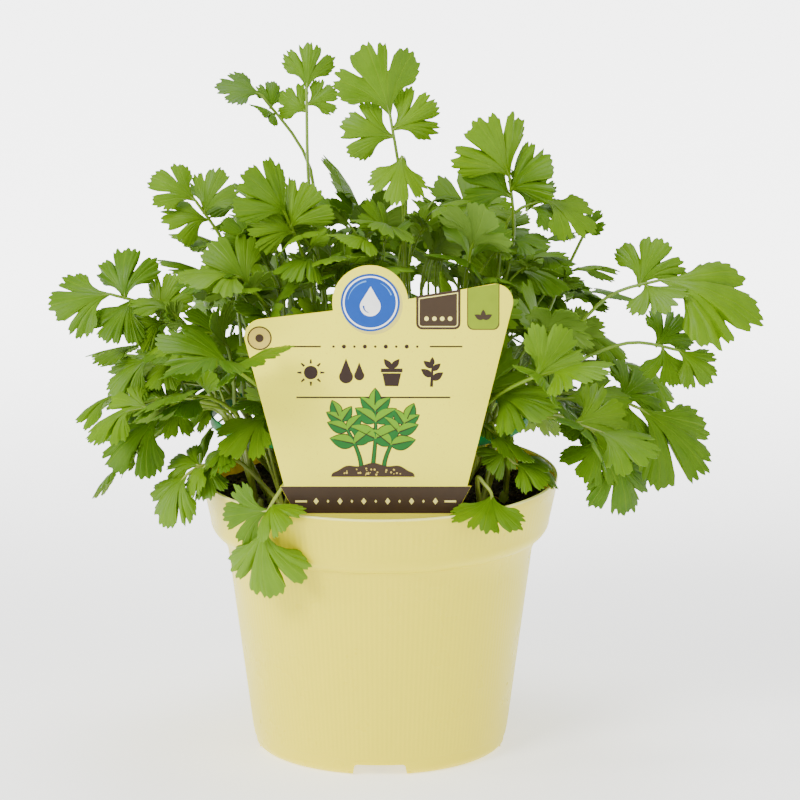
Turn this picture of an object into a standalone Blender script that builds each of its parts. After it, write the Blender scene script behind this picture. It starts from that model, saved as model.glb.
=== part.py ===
"""Coriander growing in a moulded nursery pot, with a card label and a band round the stems.

Metres, +Z up. The origin is the middle of the pot's flat base, and the label faces -Y.
"""

import math
import random
from dataclasses import dataclass

import bmesh
import bpy
from mathutils import Matrix, Vector
from mathutils.bvhtree import BVHTree

MM = 0.001

# Pot, as radii and heights over the base.
POT_HEIGHT = 102.5 * MM
RIM_RADIUS = 65.5 * MM
COLLAR_LOW = 86.5 * MM
COLLAR_LOW_RADIUS = 62.5 * MM
SHOULDER_RADIUS = 6.6 * MM
SHOULDER_TURN = math.radians(70.0)
BODY_TOP = 78.0 * MM
BODY_TOP_RADIUS = 56.3 * MM
BASE_ROUND = 3.6 * MM
BASE_RADIUS = 46.6 * MM
WALL = 1.3 * MM
FLOOR = 1.6 * MM
LIP = 0.5 * MM
POT_SIDES = 32
ARC_STEPS = 3

# Notches in the foot, each with a drain hole in its roof.
NOTCH_COUNT = 4
NOTCH_WIDTH = 20.5 * MM
NOTCH_HEIGHT = 4.5 * MM
NOTCH_DEPTH = 15.0 * MM
DRAIN_RADIUS = 3.0 * MM
HOUSING_WALL = 1.3 * MM
HOUSING_INSET = 1.6 * WALL
DRAIN_PLACE = 0.55
DRAIN_SIDES = 10

# Soil.
GAP = 0.35 * MM
WELD = 0.0015 * MM
SOIL_TOP = 94.0 * MM
SOIL_BUMP = 1.3 * MM
SOIL_SIDES = 24
SOIL_RINGS = (1.0, 0.66, 0.33)
SOIL_WAVES = (310.0, 270.0, 520.0)
ABOVE_SOIL = SOIL_TOP + 9.0 * MM
CROWN_RADIUS = 2.2 * MM
CROWN_DEPTH = 7.0 * MM
CROWN_RISE = 3.6 * MM
CROWN_SIDES = 5

# Label card, standing just inside the front of the rim.
CARD_Y = -50.0 * MM
CARD_THICKNESS = 0.8 * MM
CARD_SHOULDER_LEFT = (-50.0 * MM, 171.7 * MM)
CARD_SHOULDER_RIGHT = (49.9 * MM, 187.2 * MM)
CARD_CORNER = 6.5 * MM
CARD_CORNER_STEPS = 3
CARD_FOOT_HALF = 33.0 * MM
CARD_CENTRE = -1.4 * MM
BUMP_CENTRE = (-3.3 * MM, 179.0 * MM)
BUMP_RADIUS = 13.6 * MM
BUMP_DROP = math.radians(4.0)
BUMP_STEPS = 10
SASH_TOP = 111.0 * MM
SASH_LOW = 100.8 * MM
SASH_TOP_HALF = 34.5 * MM
SASH_LOW_HALF = 29.0 * MM
STRIP_TOP_HALF = 28.0 * MM
STRIP_LOW_HALF = 26.0 * MM
STRIP_LOW = 96.5 * MM
STAKE_HALF = 10.0 * MM
STAKE_POINT = 67.0 * MM
STAKE_TAPER = 12.0 * MM

# Band round the stems.
BAND_LEVEL = 123.5 * MM
BAND_HEIGHT = 3.8 * MM
BAND_WALL = 0.8 * MM
BAND_CENTRE = (-4.0 * MM, 1.5 * MM)
BAND_REACH_X = 58.0 * MM
BAND_REACH_Y = 48.0 * MM
BAND_SIDES = 32

# Leaf stalks and leaflets.
STALK_ROOT_RADIUS = 1.25 * MM
STALK_TIP_RADIUS = 0.75 * MM
ROOT_SPREAD = 0.7 * MM
ROOT_RISE = 1.9 * MM
ROOT_STEP = 0.3 * MM
BLADE_THICKNESS = 0.8 * MM
BLADE_CLEARANCE = 0.45 * MM
STALK_CLEARANCE = 0.3 * MM
NUDGE = 0.01 * MM

# The way of a stalk: the share of its length where it passes the band, and how steeply it goes on.
VIA_SHARE = 0.42
VIA_PLAY = 0.2
VIA_OVER_BAND = BAND_HEIGHT / 2.0 + STALK_ROOT_RADIUS + 0.7 * MM
ARCH_BELOW = 45.0 * MM
ARCH_RISE = 1.0
PLAIN_RISE = 0.35
TIP_PULL = 0.9
LOW_VIA_RADIUS = 0.83 * RIM_RADIUS
LOW_VIA_HEIGHT = POT_HEIGHT + 9.0 * MM
STALK_STEPS = (0.34, 0.68)

# Side leaflets: how far back from the end leaflet each pair stands, its swing, and its size.
PAIR_BACK = 7.2 * MM
PAIR_SPACING = 12.0 * MM
PAIR_GROWTH = 0.12
PAIR_STAGGER = 1.3 * MM
PAIR_SWING = 66.0
PAIR_SWING_STEP = 8.0
PAIR_SHRINK = 0.12

# Each leaflet's own form: its width, the depth of its two notches, its arch and its fold.
WIDTHS = (1.0, 1.22)
NOTCHES = (0.88, 1.1)
ARCHES = (0.1, 0.5)
FOLDS = (0.05, 0.4)

# How places are tried until they are clear.
SEED = 32
TRIES = 36
PLACE_PLAY = 2.0 * MM
PLACE_PLAY_STEP = 0.25 * MM
TURN_PLAY = 0.14
TURN_PLAY_STEP = 0.014
SHRINK = 0.35
CROSSING_FROM = 0.6
GOLDEN_ANGLE = math.radians(137.508)

# The bush that the rule fills: how far its leaf tips reach over the band.
BUSH_BASE = 121.0 * MM
BUSH_REACH_X = 99.0 * MM
BUSH_REACH_Y = 94.0 * MM
BUSH_RISE = 84.0 * MM
BUSH_DEPTHS = (0.78, 1.0)
BUSH_FRONDS = 44
FRONDS_PER_PLANT = 3
BUSH_LEAFLETS = (23.0, 30.0)
BUSH_SIDES = (0.8, 1.0)
TWO_PAIR_SHARE = 0.12
AIM_PLAY = 0.35
FACE_PLAY = 0.3
CROWN_REACHES = (20.0, 33.0, 46.0)
CROWN_SPACING = 2.0 * CROWN_RADIUS + 3.0 * MM
CROWN_TRIES = 60

# Leaves whose tips lie within this half width stay behind the card.
CARD_FRONT_HALF = 54.0 * MM
CARD_FRONT_LIMIT = -34.0 * MM

COLOURS = {
    "pot": ((0.79, 0.69, 0.26), 0.35),
    "soil": ((0.035, 0.022, 0.014), 0.95),
    "label": ((0.91, 0.84, 0.38), 0.45),
    "support_band": ((0.0, 0.26, 0.05), 0.35),
    "plant": ((0.17, 0.32, 0.02), 0.45),
}


@dataclass(frozen=True)
class Frond:
    """One leaf: where its end leaflet is rooted, its aim, its upper side, and its size, in mm."""

    tip: tuple
    aim: tuple
    face: tuple
    size: float
    pairs: int = 1
    side_size: float = 0.8
    low: bool = False


@dataclass(frozen=True)
class Plant:
    """One seedling: where its crown stands in the soil, in mm, and its leaves."""

    crown: tuple
    fronds: tuple


# The leaves that give the bush its outline, placed one by one.
CHOSEN_PLANTS = (
    Plant((-10.0, 8.0), (
        Frond((-43.0, 6.0, 243.0), (-0.85, -0.1, 0.45), (0.35, -0.35, 0.85), 17.0, 1, 0.7),
        Frond((-48.0, 22.0, 196.0), (-0.6, 0.3, 0.4), (-0.3, 0.2, 0.9), 18.0, 1),
    )),
    Plant((-6.0, -9.0), (
        Frond((-26.5, -2.0, 247.0), (0.08, 0.0, 1.0), (0.05, -0.95, 0.3), 17.0, 1, 0.72),
        Frond((-34.0, -22.0, 205.0), (-0.35, -0.5, 0.6), (-0.1, -0.8, 0.6), 23.0, 1),
    )),
    Plant((8.0, -4.0), (
        Frond((3.7, -4.0, 238.0), (-0.28, -0.1, 0.95), (0.1, -0.95, 0.25), 27.0, 1, 0.7),
        Frond((8.0, -16.0, 225.0), (-0.1, -0.75, -0.55), (0.1, -0.75, 0.65), 19.0, 0),
    )),
    Plant((24.0, -6.0), (
        Frond((47.0, -8.0, 216.0), (-0.3, -0.45, 0.75), (-0.1, -0.75, 0.65), 25.0, 1),
        Frond((60.0, -6.0, 207.0), (0.6, -0.2, -0.25), (0.45, -0.55, 0.7), 22.0, 1),
    )),
    Plant((30.0, 8.0), (
        Frond((74.0, 6.0, 190.0), (0.45, 0.0, 0.9), (-0.6, -0.5, 0.5), 12.0, 0),
        Frond((99.0, -6.0, 176.0), (0.95, -0.15, -0.1), (0.1, -0.55, 0.85), 39.0, 1, 0.55),
    )),
    Plant((38.0, -8.0), (
        Frond((109.0, -8.0, 151.0), (0.6, -0.25, -0.35), (0.3, -0.75, 0.6), 17.0, 1, 1.0),
        Frond((95.0, -12.0, 130.0), (0.8, -0.25, -0.5), (0.4, -0.65, 0.65), 34.0, 1, 0.6),
    )),
    Plant((36.0, -24.0), (
        Frond((84.0, -22.0, 117.0), (0.35, -0.35, -0.8), (0.4, -0.8, 0.45), 24.0, 1, 0.8),
        Frond((40.5, -47.5, 106.5), (-0.12, -0.9, -0.35), (0.1, -0.4, 0.9), 25.0, 0, 1.0, True),
    )),
    Plant((-34.0, 4.0), (
        Frond((-98.0, -4.0, 172.0), (-0.9, -0.15, -0.1), (-0.15, -0.75, 0.7), 23.0, 2, 0.85),
        Frond((-67.0, -4.0, 206.0), (-0.75, -0.1, 0.6), (-0.1, -0.7, 0.7), 18.0, 1, 0.95),
    )),
    Plant((-40.0, -10.0), (
        Frond((-84.0, -12.0, 149.0), (-0.8, -0.2, -0.45), (-0.3, -0.75, 0.6), 20.0, 1),
        Frond((-80.0, -16.0, 129.0), (-0.75, -0.25, -0.55), (-0.35, -0.75, 0.55), 28.0, 1, 0.5),
    )),
    Plant((-34.0, -26.0), (
        Frond((-70.0, -30.0, 110.0), (-0.65, -0.35, -0.6), (-0.3, -0.6, 0.75), 19.0, 1, 0.8, True),
        Frond((-42.0, -58.0, 98.5), (-0.1, -0.3, -0.95), (-0.4, -0.9, 0.2), 26.0, 1, 0.7, True),
    )),
)

# A leaflet's outline, as angles off its midrib and distances from the middle of its fan, in lengths.
FAN_CENTRE = 0.30
TEETH = (
    (76.0, 0.56),
    (62.0, 0.52),
    (48.0, 0.65),
    (31.0, 0.53),
    (19.0, 0.66),
    (9.5, 0.62),
    (0.0, 0.69),
)
NOTCH_INDEX = 3
NECK_REACH = 0.12
NECK_HALF = 0.045
SIDE_HUB = (45.0, 0.27)
MID_HUB = 0.36
NECK_TOP = 2 * len(TEETH) + 2
NECK_UNDER = NECK_TOP + 4


def clear_scene():
    """Take every object out of the file, so that the model starts from nothing."""
    for old in list(bpy.data.objects):
        bpy.data.objects.remove(old, do_unlink=True)


def make_material(name):
    """Give a plain plastic, soil, card or leaf colour."""
    colour, roughness = COLOURS[name]
    material = bpy.data.materials.new(name)
    material.use_nodes = True
    shader = material.node_tree.nodes["Principled BSDF"]
    shader.inputs["Base Color"].default_value = (*colour, 1.0)
    shader.inputs["Roughness"].default_value = roughness
    shader.inputs["Metallic"].default_value = 0.0
    return material


def make_object(name, points, faces, material=None):
    """Make a mesh object from points and faces."""
    mesh = bpy.data.meshes.new(name)
    mesh.from_pydata([tuple(point) for point in points], [], faces)
    mesh.validate()
    made = bpy.data.objects.new(name, mesh)
    bpy.context.scene.collection.objects.link(made)
    if material:
        made.data.materials.append(material)
    return made


def bodies_of(work):
    """The separate bodies of a mesh, as sets of vertices, the smallest first."""
    left = set(work.verts)
    bodies = []
    while left:
        first = left.pop()
        body = {first}
        reached = [first]
        while reached:
            vertex = reached.pop()
            for edge in vertex.link_edges:
                other = edge.other_vert(vertex)
                if other in left:
                    left.remove(other)
                    body.add(other)
                    reached.append(other)
        bodies.append(body)
    return sorted(bodies, key=len)


def tidy_solid(mesh, ngon_method):
    """Weld a joined mesh, drop loose scraps, and say whether it is one closed body."""
    work = bmesh.new()
    work.from_mesh(mesh)
    bmesh.ops.triangulate(work, faces=work.faces, ngon_method=ngon_method)
    bmesh.ops.remove_doubles(work, verts=work.verts, dist=WELD)
    bmesh.ops.dissolve_degenerate(work, edges=work.edges, dist=WELD)
    bmesh.ops.triangulate(work, faces=work.faces)
    scraps = [vertex for body in bodies_of(work)[:-1] for vertex in body]
    bmesh.ops.delete(work, geom=scraps, context="VERTS")
    closed = all(len(edge.link_faces) == 2 for edge in work.edges) and work.calc_volume() > 0.0
    if closed:
        work.to_mesh(mesh)
    work.free()
    return closed


def boolean(target, tools, operation):
    """Join tools to the target, or cut them from it, and drop them. Says whether the result is sound."""
    group = bpy.data.collections.new("tools")
    bpy.context.scene.collection.children.link(group)
    for tool in tools:
        bpy.context.scene.collection.objects.unlink(tool)
        group.objects.link(tool)
    modifier = target.modifiers.new("boolean", "BOOLEAN")
    modifier.operation = operation
    modifier.operand_type = "COLLECTION"
    modifier.collection = group
    for solver in ("EXACT", "MANIFOLD"):
        modifier.solver = solver
        graph = bpy.context.evaluated_depsgraph_get()
        graph.update()
        result = bpy.data.meshes.new_from_object(target.evaluated_get(graph))
        sound = any(tidy_solid(result, method) for method in ("BEAUTY", "EAR_CLIP"))
        if sound:
            break
    target.modifiers.clear()
    target.data = result
    for tool in tools:
        bpy.data.objects.remove(tool, do_unlink=True)
    bpy.data.collections.remove(group)
    return sound


def lathe(profile, sides):
    """Points and faces of a closed outline of radii and heights, run up its outer side, turned round Z.

    Points at radius 0 become single poles, and the outline is closed from its last point to its first.
    """
    points = []
    rings = []
    for radius, height in profile:
        if radius <= 0.0:
            rings.append([len(points)])
            points.append(Vector((0.0, 0.0, height)))
            continue
        start = len(points)
        for step in range(sides):
            turn = math.tau * step / sides
            points.append(Vector((radius * math.cos(turn), radius * math.sin(turn), height)))
        rings.append(list(range(start, start + sides)))
    faces = []
    for index, ring in enumerate(rings):
        after = rings[(index + 1) % len(rings)]
        if len(ring) == 1 and len(after) == 1:
            continue
        for step in range(sides):
            nxt = (step + 1) % sides
            if len(ring) == 1:
                faces.append((ring[0], after[nxt], after[step]))
            elif len(after) == 1:
                faces.append((ring[step], ring[nxt], after[0]))
            else:
                faces.append((ring[step], ring[nxt], after[nxt], after[step]))
    return points, faces


def arc(centre, radius, start, end, steps):
    """Points of an arc in the outline's plane, ends included."""
    points = []
    for step in range(steps + 1):
        turn = start + (end - start) * step / steps
        points.append((centre[0] + radius * math.cos(turn), centre[1] + radius * math.sin(turn)))
    return points


def block(low, high, turn=0.0):
    """Points and faces of a box between two corners, turned about Z."""
    corners = []
    for x in (low[0], high[0]):
        for y in (low[1], high[1]):
            for z in (low[2], high[2]):
                corners.append(Matrix.Rotation(turn, 3, "Z") @ Vector((x, y, z)))
    faces = [(0, 1, 3, 2), (4, 6, 7, 5), (0, 4, 5, 1), (2, 3, 7, 6), (0, 2, 6, 4), (1, 5, 7, 3)]
    return corners, faces


def rod(centre, radius, low, high, sides):
    """Points and faces of an upright prism."""
    points = []
    for height in (low, high):
        for step in range(sides):
            turn = math.tau * (step + 0.5) / sides
            points.append((centre[0] + radius * math.cos(turn), centre[1] + radius * math.sin(turn), height))
    faces = [tuple(reversed(range(sides))), tuple(range(sides, 2 * sides))]
    for step in range(sides):
        nxt = (step + 1) % sides
        faces.append((step, nxt, sides + nxt, sides + step))
    return [Vector(point) for point in points], faces


def outer_wall():
    """The pot's outer outline, from the foot to the rim."""
    shoulder_centre = (COLLAR_LOW_RADIUS - SHOULDER_RADIUS, COLLAR_LOW)
    foot_centre = (BASE_RADIUS - BASE_ROUND, BASE_ROUND)
    outline = arc(foot_centre, BASE_ROUND, -math.pi / 2.0, 0.0, ARC_STEPS)
    outline.append((BODY_TOP_RADIUS, BODY_TOP))
    outline += arc(shoulder_centre, SHOULDER_RADIUS, -SHOULDER_TURN, 0.0, ARC_STEPS)
    outline += [(RIM_RADIUS, POT_HEIGHT - LIP), (RIM_RADIUS - LIP, POT_HEIGHT)]
    return outline


def inner_wall():
    """The pot's inner outline, from the rim to the floor."""
    shoulder_centre = (COLLAR_LOW_RADIUS - SHOULDER_RADIUS, COLLAR_LOW)
    inner = SHOULDER_RADIUS - WALL
    outline = [(RIM_RADIUS - WALL - LIP, POT_HEIGHT), (RIM_RADIUS - WALL - 2.0 * LIP, POT_HEIGHT - LIP)]
    outline += arc(shoulder_centre, inner, 0.0, -SHOULDER_TURN, ARC_STEPS - 1)
    outline.append((BODY_TOP_RADIUS - WALL, BODY_TOP + WALL / 2.0))
    foot_centre = (BASE_RADIUS - BASE_ROUND, BASE_ROUND + FLOOR / 2.0)
    outline += arc(foot_centre, BASE_ROUND - WALL, 0.0, -math.pi / 2.0, ARC_STEPS - 2)
    return outline


def inner_radius(height):
    """The radius of the pot's inside at a height."""
    outline = inner_wall()
    for (upper_radius, upper), (lower_radius, lower) in zip(outline, outline[1:]):
        if lower <= height <= upper:
            share = (height - lower) / (upper - lower)
            return lower_radius + (upper_radius - lower_radius) * share
    return outline[-1][0]


def notch_turns():
    """The ways that the notches face, the first one to the front."""
    return [math.tau * step / NOTCH_COUNT - math.pi / 2.0 for step in range(NOTCH_COUNT)]


def notch_box(grow, reach_out):
    """The corners of a notch that faces +X, made larger by a wall or a gap."""
    inner = BASE_RADIUS - NOTCH_DEPTH
    low = (inner - grow, -NOTCH_WIDTH / 2.0 - grow, -grow - MM)
    high = (BASE_RADIUS + reach_out, NOTCH_WIDTH / 2.0 + grow, NOTCH_HEIGHT + grow)
    return low, high


def pot_shell():
    """Points and faces of the pot's turned shell, before anything is cut from it."""
    floor_height = inner_wall()[-1][1]
    return lathe([(0.0, 0.0)] + outer_wall() + inner_wall() + [(0.0, floor_height)], POT_SIDES)


def make_pot(material):
    """The pot: a turned shell with housings over its notches."""
    pot = make_object("pot", *pot_shell(), material)
    housings = []
    cuts = []
    for turn in notch_turns():
        low, high = notch_box(HOUSING_WALL, -HOUSING_INSET)
        housings.append(make_object("housing", *block((low[0], low[1], FLOOR / 2.0), high, turn)))
        low, high = notch_box(0.0, WALL * 2.0)
        cuts.append(make_object("notch", *block(low, high, turn)))
        middle = BASE_RADIUS - NOTCH_DEPTH * DRAIN_PLACE
        place = (middle * math.cos(turn), middle * math.sin(turn))
        top = NOTCH_HEIGHT + HOUSING_WALL + MM
        drain = rod(place, DRAIN_RADIUS, NOTCH_HEIGHT / 2.0, top, DRAIN_SIDES)
        cuts.append(make_object("drain", *drain))
    boolean(pot, housings, "UNION")
    boolean(pot, cuts, "DIFFERENCE")
    return pot


def soil_height(x, y):
    """The bumpy level of the soil."""
    broad_x, broad_y, fine = SOIL_WAVES
    waves = math.sin(x * broad_x + 0.6) * math.cos(y * broad_y) + 0.5 * math.sin((x - y) * fine)
    return SOIL_TOP + SOIL_BUMP * waves * 0.6


def make_soil(material, crowns):
    """The soil that fills the pot, with holes for the crowns, the card and the housings."""
    wall = [point for point in reversed(inner_wall()) if point[1] < SOIL_TOP]
    profile = [(0.0, wall[0][1] + GAP)]
    for radius, height in wall:
        profile.append((radius - GAP, height + GAP))
    edge = inner_radius(SOIL_TOP - SOIL_BUMP) - GAP
    for share in SOIL_RINGS:
        profile.append((edge * share, SOIL_TOP))
    profile.append((0.0, SOIL_TOP))
    soil = make_object("soil", *lathe(profile, SOIL_SIDES), material)
    for vertex in soil.data.vertices:
        if vertex.co.z > SOIL_TOP - MM:
            vertex.co.z = soil_height(vertex.co.x, vertex.co.y)
    cuts = []
    for turn in notch_turns():
        low, high = notch_box(HOUSING_WALL + GAP, WALL * 2.0)
        cuts.append(make_object("room", *block(low, high, turn)))
    for crown in crowns:
        hole = rod(crown, CROWN_RADIUS + GAP, SOIL_TOP - CROWN_DEPTH - GAP, ABOVE_SOIL, CROWN_SIDES)
        cuts.append(make_object("hole", *hole))
    half = CARD_THICKNESS / 2.0 + GAP
    slot = STAKE_HALF + GAP
    low = (CARD_CENTRE - slot, CARD_Y - half, STAKE_POINT - GAP)
    high = (CARD_CENTRE + slot, CARD_Y + half, ABOVE_SOIL)
    cuts.append(make_object("slot", *block(low, high)))
    boolean(soil, cuts, "DIFFERENCE")
    return soil


def rounded_corner(before, corner, after, radius):
    """An arc that rounds a corner between two straight edges."""
    corner = Vector(corner)
    back = (Vector(before) - corner).normalized()
    ahead = (Vector(after) - corner).normalized()
    half = back.angle(ahead) / 2.0
    middle = (back + ahead).normalized()
    centre = corner + middle * (radius / math.sin(half))
    start = corner + back * (radius / math.tan(half)) - centre
    end = corner + ahead * (radius / math.tan(half)) - centre
    points = []
    for step in range(CARD_CORNER_STEPS + 1):
        swing = start.lerp(end, step / CARD_CORNER_STEPS)
        points.append(centre + swing.normalized() * radius)
    return [(point.x, point.y) for point in points]


def card_outline():
    """The label's outline in its own plane, from the foot's point round by its right side."""
    top = CARD_SHOULDER_RIGHT
    left = CARD_SHOULDER_LEFT
    foot = [
        (STAKE_HALF, STAKE_POINT + STAKE_TAPER),
        (STAKE_HALF, STRIP_LOW),
        (STRIP_LOW_HALF, STRIP_LOW),
        (STRIP_TOP_HALF, SASH_LOW),
        (SASH_LOW_HALF, SASH_LOW),
        (SASH_TOP_HALF, SASH_TOP),
        (CARD_FOOT_HALF, SASH_TOP),
    ]
    right_side = [(CARD_CENTRE + half, height) for half, height in foot]
    left_side = [(CARD_CENTRE - half, height) for half, height in reversed(foot)]
    slope = math.atan2(top[1] - left[1], top[0] - left[0])
    outline = [(CARD_CENTRE, STAKE_POINT)] + right_side
    outline += rounded_corner(right_side[-1], top, left, CARD_CORNER)
    outline += arc(BUMP_CENTRE, BUMP_RADIUS, slope - BUMP_DROP, math.pi + slope + BUMP_DROP, BUMP_STEPS)
    outline += rounded_corner(top, left, left_side[0], CARD_CORNER)
    return outline + left_side


def label_shape():
    """Points and faces of the label: its outline raised to the card's thickness."""
    outline = card_outline()
    count = len(outline)
    front = CARD_Y - CARD_THICKNESS / 2.0
    back = CARD_Y + CARD_THICKNESS / 2.0
    points = [Vector((x, depth, z)) for depth in (front, back) for x, z in outline]
    faces = [tuple(range(count)), tuple(reversed(range(count, 2 * count)))]
    for step in range(count):
        nxt = (step + 1) % count
        faces.append((nxt, step, count + step, count + nxt))
    return points, faces


def band_point(turn, inwards=0.0):
    """A point on the middle of the band's wall, or moved in from it."""
    x = BAND_CENTRE[0] + (BAND_REACH_X - inwards) * math.cos(turn)
    y = BAND_CENTRE[1] + (BAND_REACH_Y - inwards) * math.sin(turn)
    return x, y


def band_shape():
    """Points and faces of the flat band round the stems."""
    low = BAND_LEVEL - BAND_HEIGHT / 2.0
    high = BAND_LEVEL + BAND_HEIGHT / 2.0
    corners = ((-0.5, low), (-0.5, high), (0.5, high), (0.5, low))
    points = []
    for step in range(BAND_SIDES):
        turn = math.tau * step / BAND_SIDES
        for side, height in corners:
            x, y = band_point(turn, side * BAND_WALL)
            points.append(Vector((x, y, height)))
    faces = []
    for step in range(BAND_SIDES):
        here = 4 * step
        there = 4 * ((step + 1) % BAND_SIDES)
        for corner in range(4):
            nxt = (corner + 1) % 4
            faces.append((here + corner, there + corner, there + nxt, here + nxt))
    return points, faces


def leaflet_mesh(length, width, notch, arch, fold, grow=0.0):
    """Points and faces of a fan-shaped leaflet that grows along +Y with its upper side to +Z.

    The outline is one sharp edge that both sides share, and the hubs inside it stand half a
    thickness off it. With grow set, it is two loose sheets a little larger, for trying a place.
    """
    def on_blade(angle, reach):
        turn = math.radians(angle)
        spread = reach * length + grow
        x = width * spread * math.sin(turn)
        y = FAN_CENTRE * length + spread * math.cos(turn)
        return x, y

    def lift(x, y):
        ahead = max(0.0, y / length - NECK_REACH)
        across = x / length
        return -length * (arch * ahead * ahead + fold * across * across)

    def place(x, y, side=0.0):
        return Vector((x, y, lift(x, y) + side))

    def reach_of(index):
        return TEETH[index][1] * (notch if index == NOTCH_INDEX else 1.0)

    half = BLADE_THICKNESS / 2.0
    outline = []
    for index in range(len(TEETH)):
        outline.append(on_blade(-TEETH[index][0], reach_of(index)))
    for index in reversed(range(len(TEETH) - 1)):
        outline.append(on_blade(TEETH[index][0], reach_of(index)))
    neck_half = NECK_HALF * length + grow
    edge = [(0.0, 0.0), (-neck_half, NECK_REACH * length), (neck_half, NECK_REACH * length)] + outline
    hubs = [
        (0.0, NECK_REACH * length),
        on_blade(-SIDE_HUB[0], SIDE_HUB[1]),
        (0.0, (FAN_CENTRE + MID_HUB) * length),
        on_blade(SIDE_HUB[0], SIDE_HUB[1]),
    ]
    tip, left, right, first = 0, 1, 2, 3
    last = first + len(outline) - 1
    neck, hub_left, hub_mid, hub_right = range(last + 1, last + 5)
    notch_left = first + NOTCH_INDEX
    notch_right = last - NOTCH_INDEX
    upper = [
        (tip, right, neck), (tip, neck, left),
        (right, last, hub_right), (right, hub_right, neck), (neck, hub_right, hub_mid),
        (neck, hub_mid, hub_left), (neck, hub_left, left), (left, hub_left, first),
        (hub_right, notch_right, hub_mid), (hub_mid, notch_left, hub_left),
    ]
    for start, end, hub in ((last, notch_right, hub_right), (notch_right, notch_left, hub_mid),
                            (notch_left, first, hub_left)):
        for index in range(start, end, -1):
            upper.append((hub, index, index - 1))
    if grow:
        lift_by = half + grow
        sheet = edge + hubs
        points = [place(x, y, lift_by) for x, y in sheet] + [place(x, y, -lift_by) for x, y in sheet]
        faces = upper + [tuple(index + len(sheet) for index in face) for face in upper]
        return points, faces
    points = [place(x, y) for x, y in edge]
    points += [place(x, y, half) for x, y in hubs]
    points += [place(x, y, -half) for x, y in hubs]
    flip = {neck: last + 5, hub_left: last + 6, hub_mid: last + 7, hub_right: last + 8}
    lower = [tuple(flip.get(index, index) for index in reversed(face)) for face in upper]
    return points, upper + lower


def stalk_frames(path, face):
    """The heading and the sideways direction at each point of a path, carried back from its end untwisted."""
    frames = []
    across = (path[-1] - path[-2]).cross(face)
    for index in reversed(range(len(path))):
        before = path[max(index - 1, 0)]
        after = path[min(index + 1, len(path) - 1)]
        along = (after - before).normalized()
        across = (across - along * across.dot(along)).normalized()
        frames.append((along, across))
    return frames[::-1]


def stalk_mesh(path, face, grow=0.0):
    """Points and faces of a tapering three-sided stalk, flat on its upper side, with closed ends."""
    points = []
    count = len(path)
    for index, (along, across) in enumerate(stalk_frames(path, face)):
        up = across.cross(along)
        radius = STALK_ROOT_RADIUS + (STALK_TIP_RADIUS - STALK_ROOT_RADIUS) * index / (count - 1) + grow
        points.append(path[index] + (up * 0.5 - across * 0.87) * radius)
        points.append(path[index] + (up * 0.5 + across * 0.87) * radius)
        points.append(path[index] - up * radius)
    faces = [(2, 1, 0), (3 * count - 3, 3 * count - 2, 3 * count - 1)]
    for index in range(count - 1):
        for step in range(3):
            nxt = (step + 1) % 3
            low = index * 3
            high = low + 3
            faces.append((low + step, low + nxt, high + nxt, high + step))
    return points, faces


def stalk_with_blade(stalk, blade):
    """Run a stalk's end straight into its end leaflet, in one mesh."""
    stalk_points, stalk_faces = stalk
    blade_points, blade_faces = blade
    shift = len(stalk_points) - 1
    left, right, below = range(len(stalk_points) - 3, len(stalk_points))
    neck_left, neck_right = 1 + shift, 2 + shift
    neck_top = NECK_TOP + shift
    neck_under = NECK_UNDER + shift
    faces = stalk_faces[:1] + stalk_faces[2:]
    faces += [tuple(index + shift for index in face) for face in blade_faces if 0 not in face]
    faces += [
        (left, right, neck_top), (right, neck_right, neck_top), (left, neck_top, neck_left),
        (right, below, neck_under), (right, neck_under, neck_right),
        (below, left, neck_left), (below, neck_left, neck_under),
    ]
    return stalk_points + blade_points[1:], faces


def hermite(start, start_pull, end, end_pull, share):
    """A point on a smooth curve between two points with given pulls."""
    square = share * share
    cube = square * share
    return (start * (2.0 * cube - 3.0 * square + 1.0) + start_pull * (cube - 2.0 * square + share)
            + end * (-2.0 * cube + 3.0 * square) + end_pull * (cube - square))


class Thicket:
    """What already stands, with a search tree for each shape, so that new shapes keep clear of it."""

    def __init__(self):
        self.shapes = []

    def add(self, owner, points, faces):
        """Remember a shape that is placed for good."""
        centre = sum(points, Vector()) / len(points)
        radius = max((point - centre).length for point in points)
        tree = BVHTree.FromPolygons([tuple(point) for point in points], faces)
        self.shapes.append((owner, centre, radius, tree))

    def hits(self, points, faces, owner=None):
        """Whether a shape runs into anything that stands, its owner's own shapes left out."""
        centre = sum(points, Vector()) / len(points)
        radius = max((point - centre).length for point in points)
        tree = None
        for other, middle, reach, standing in self.shapes:
            if other == owner and owner is not None:
                continue
            if (middle - centre).length > reach + radius:
                continue
            if tree is None:
                tree = BVHTree.FromPolygons([tuple(point) for point in points], faces)
            if tree.overlap(standing):
                return True
        return False


def place_leaflet(root, forward, face, shape):
    """Carry a leaflet's points to where it grows."""
    forward = forward.normalized()
    across = forward.cross(face).normalized()
    up = across.cross(forward)
    frame = Matrix((across, forward, up)).transposed()
    return [root + frame @ point for point in shape]


def band_limit(place, inwards):
    """Draw a point in until it is inside the band."""
    x = (place.x - BAND_CENTRE[0]) / (BAND_REACH_X - inwards)
    y = (place.y - BAND_CENTRE[1]) / (BAND_REACH_Y - inwards)
    out = math.hypot(x, y)
    if out <= 1.0:
        return place
    edge_x, edge_y = band_point(math.atan2(y, x), inwards)
    return Vector((edge_x, edge_y, place.z))


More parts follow.
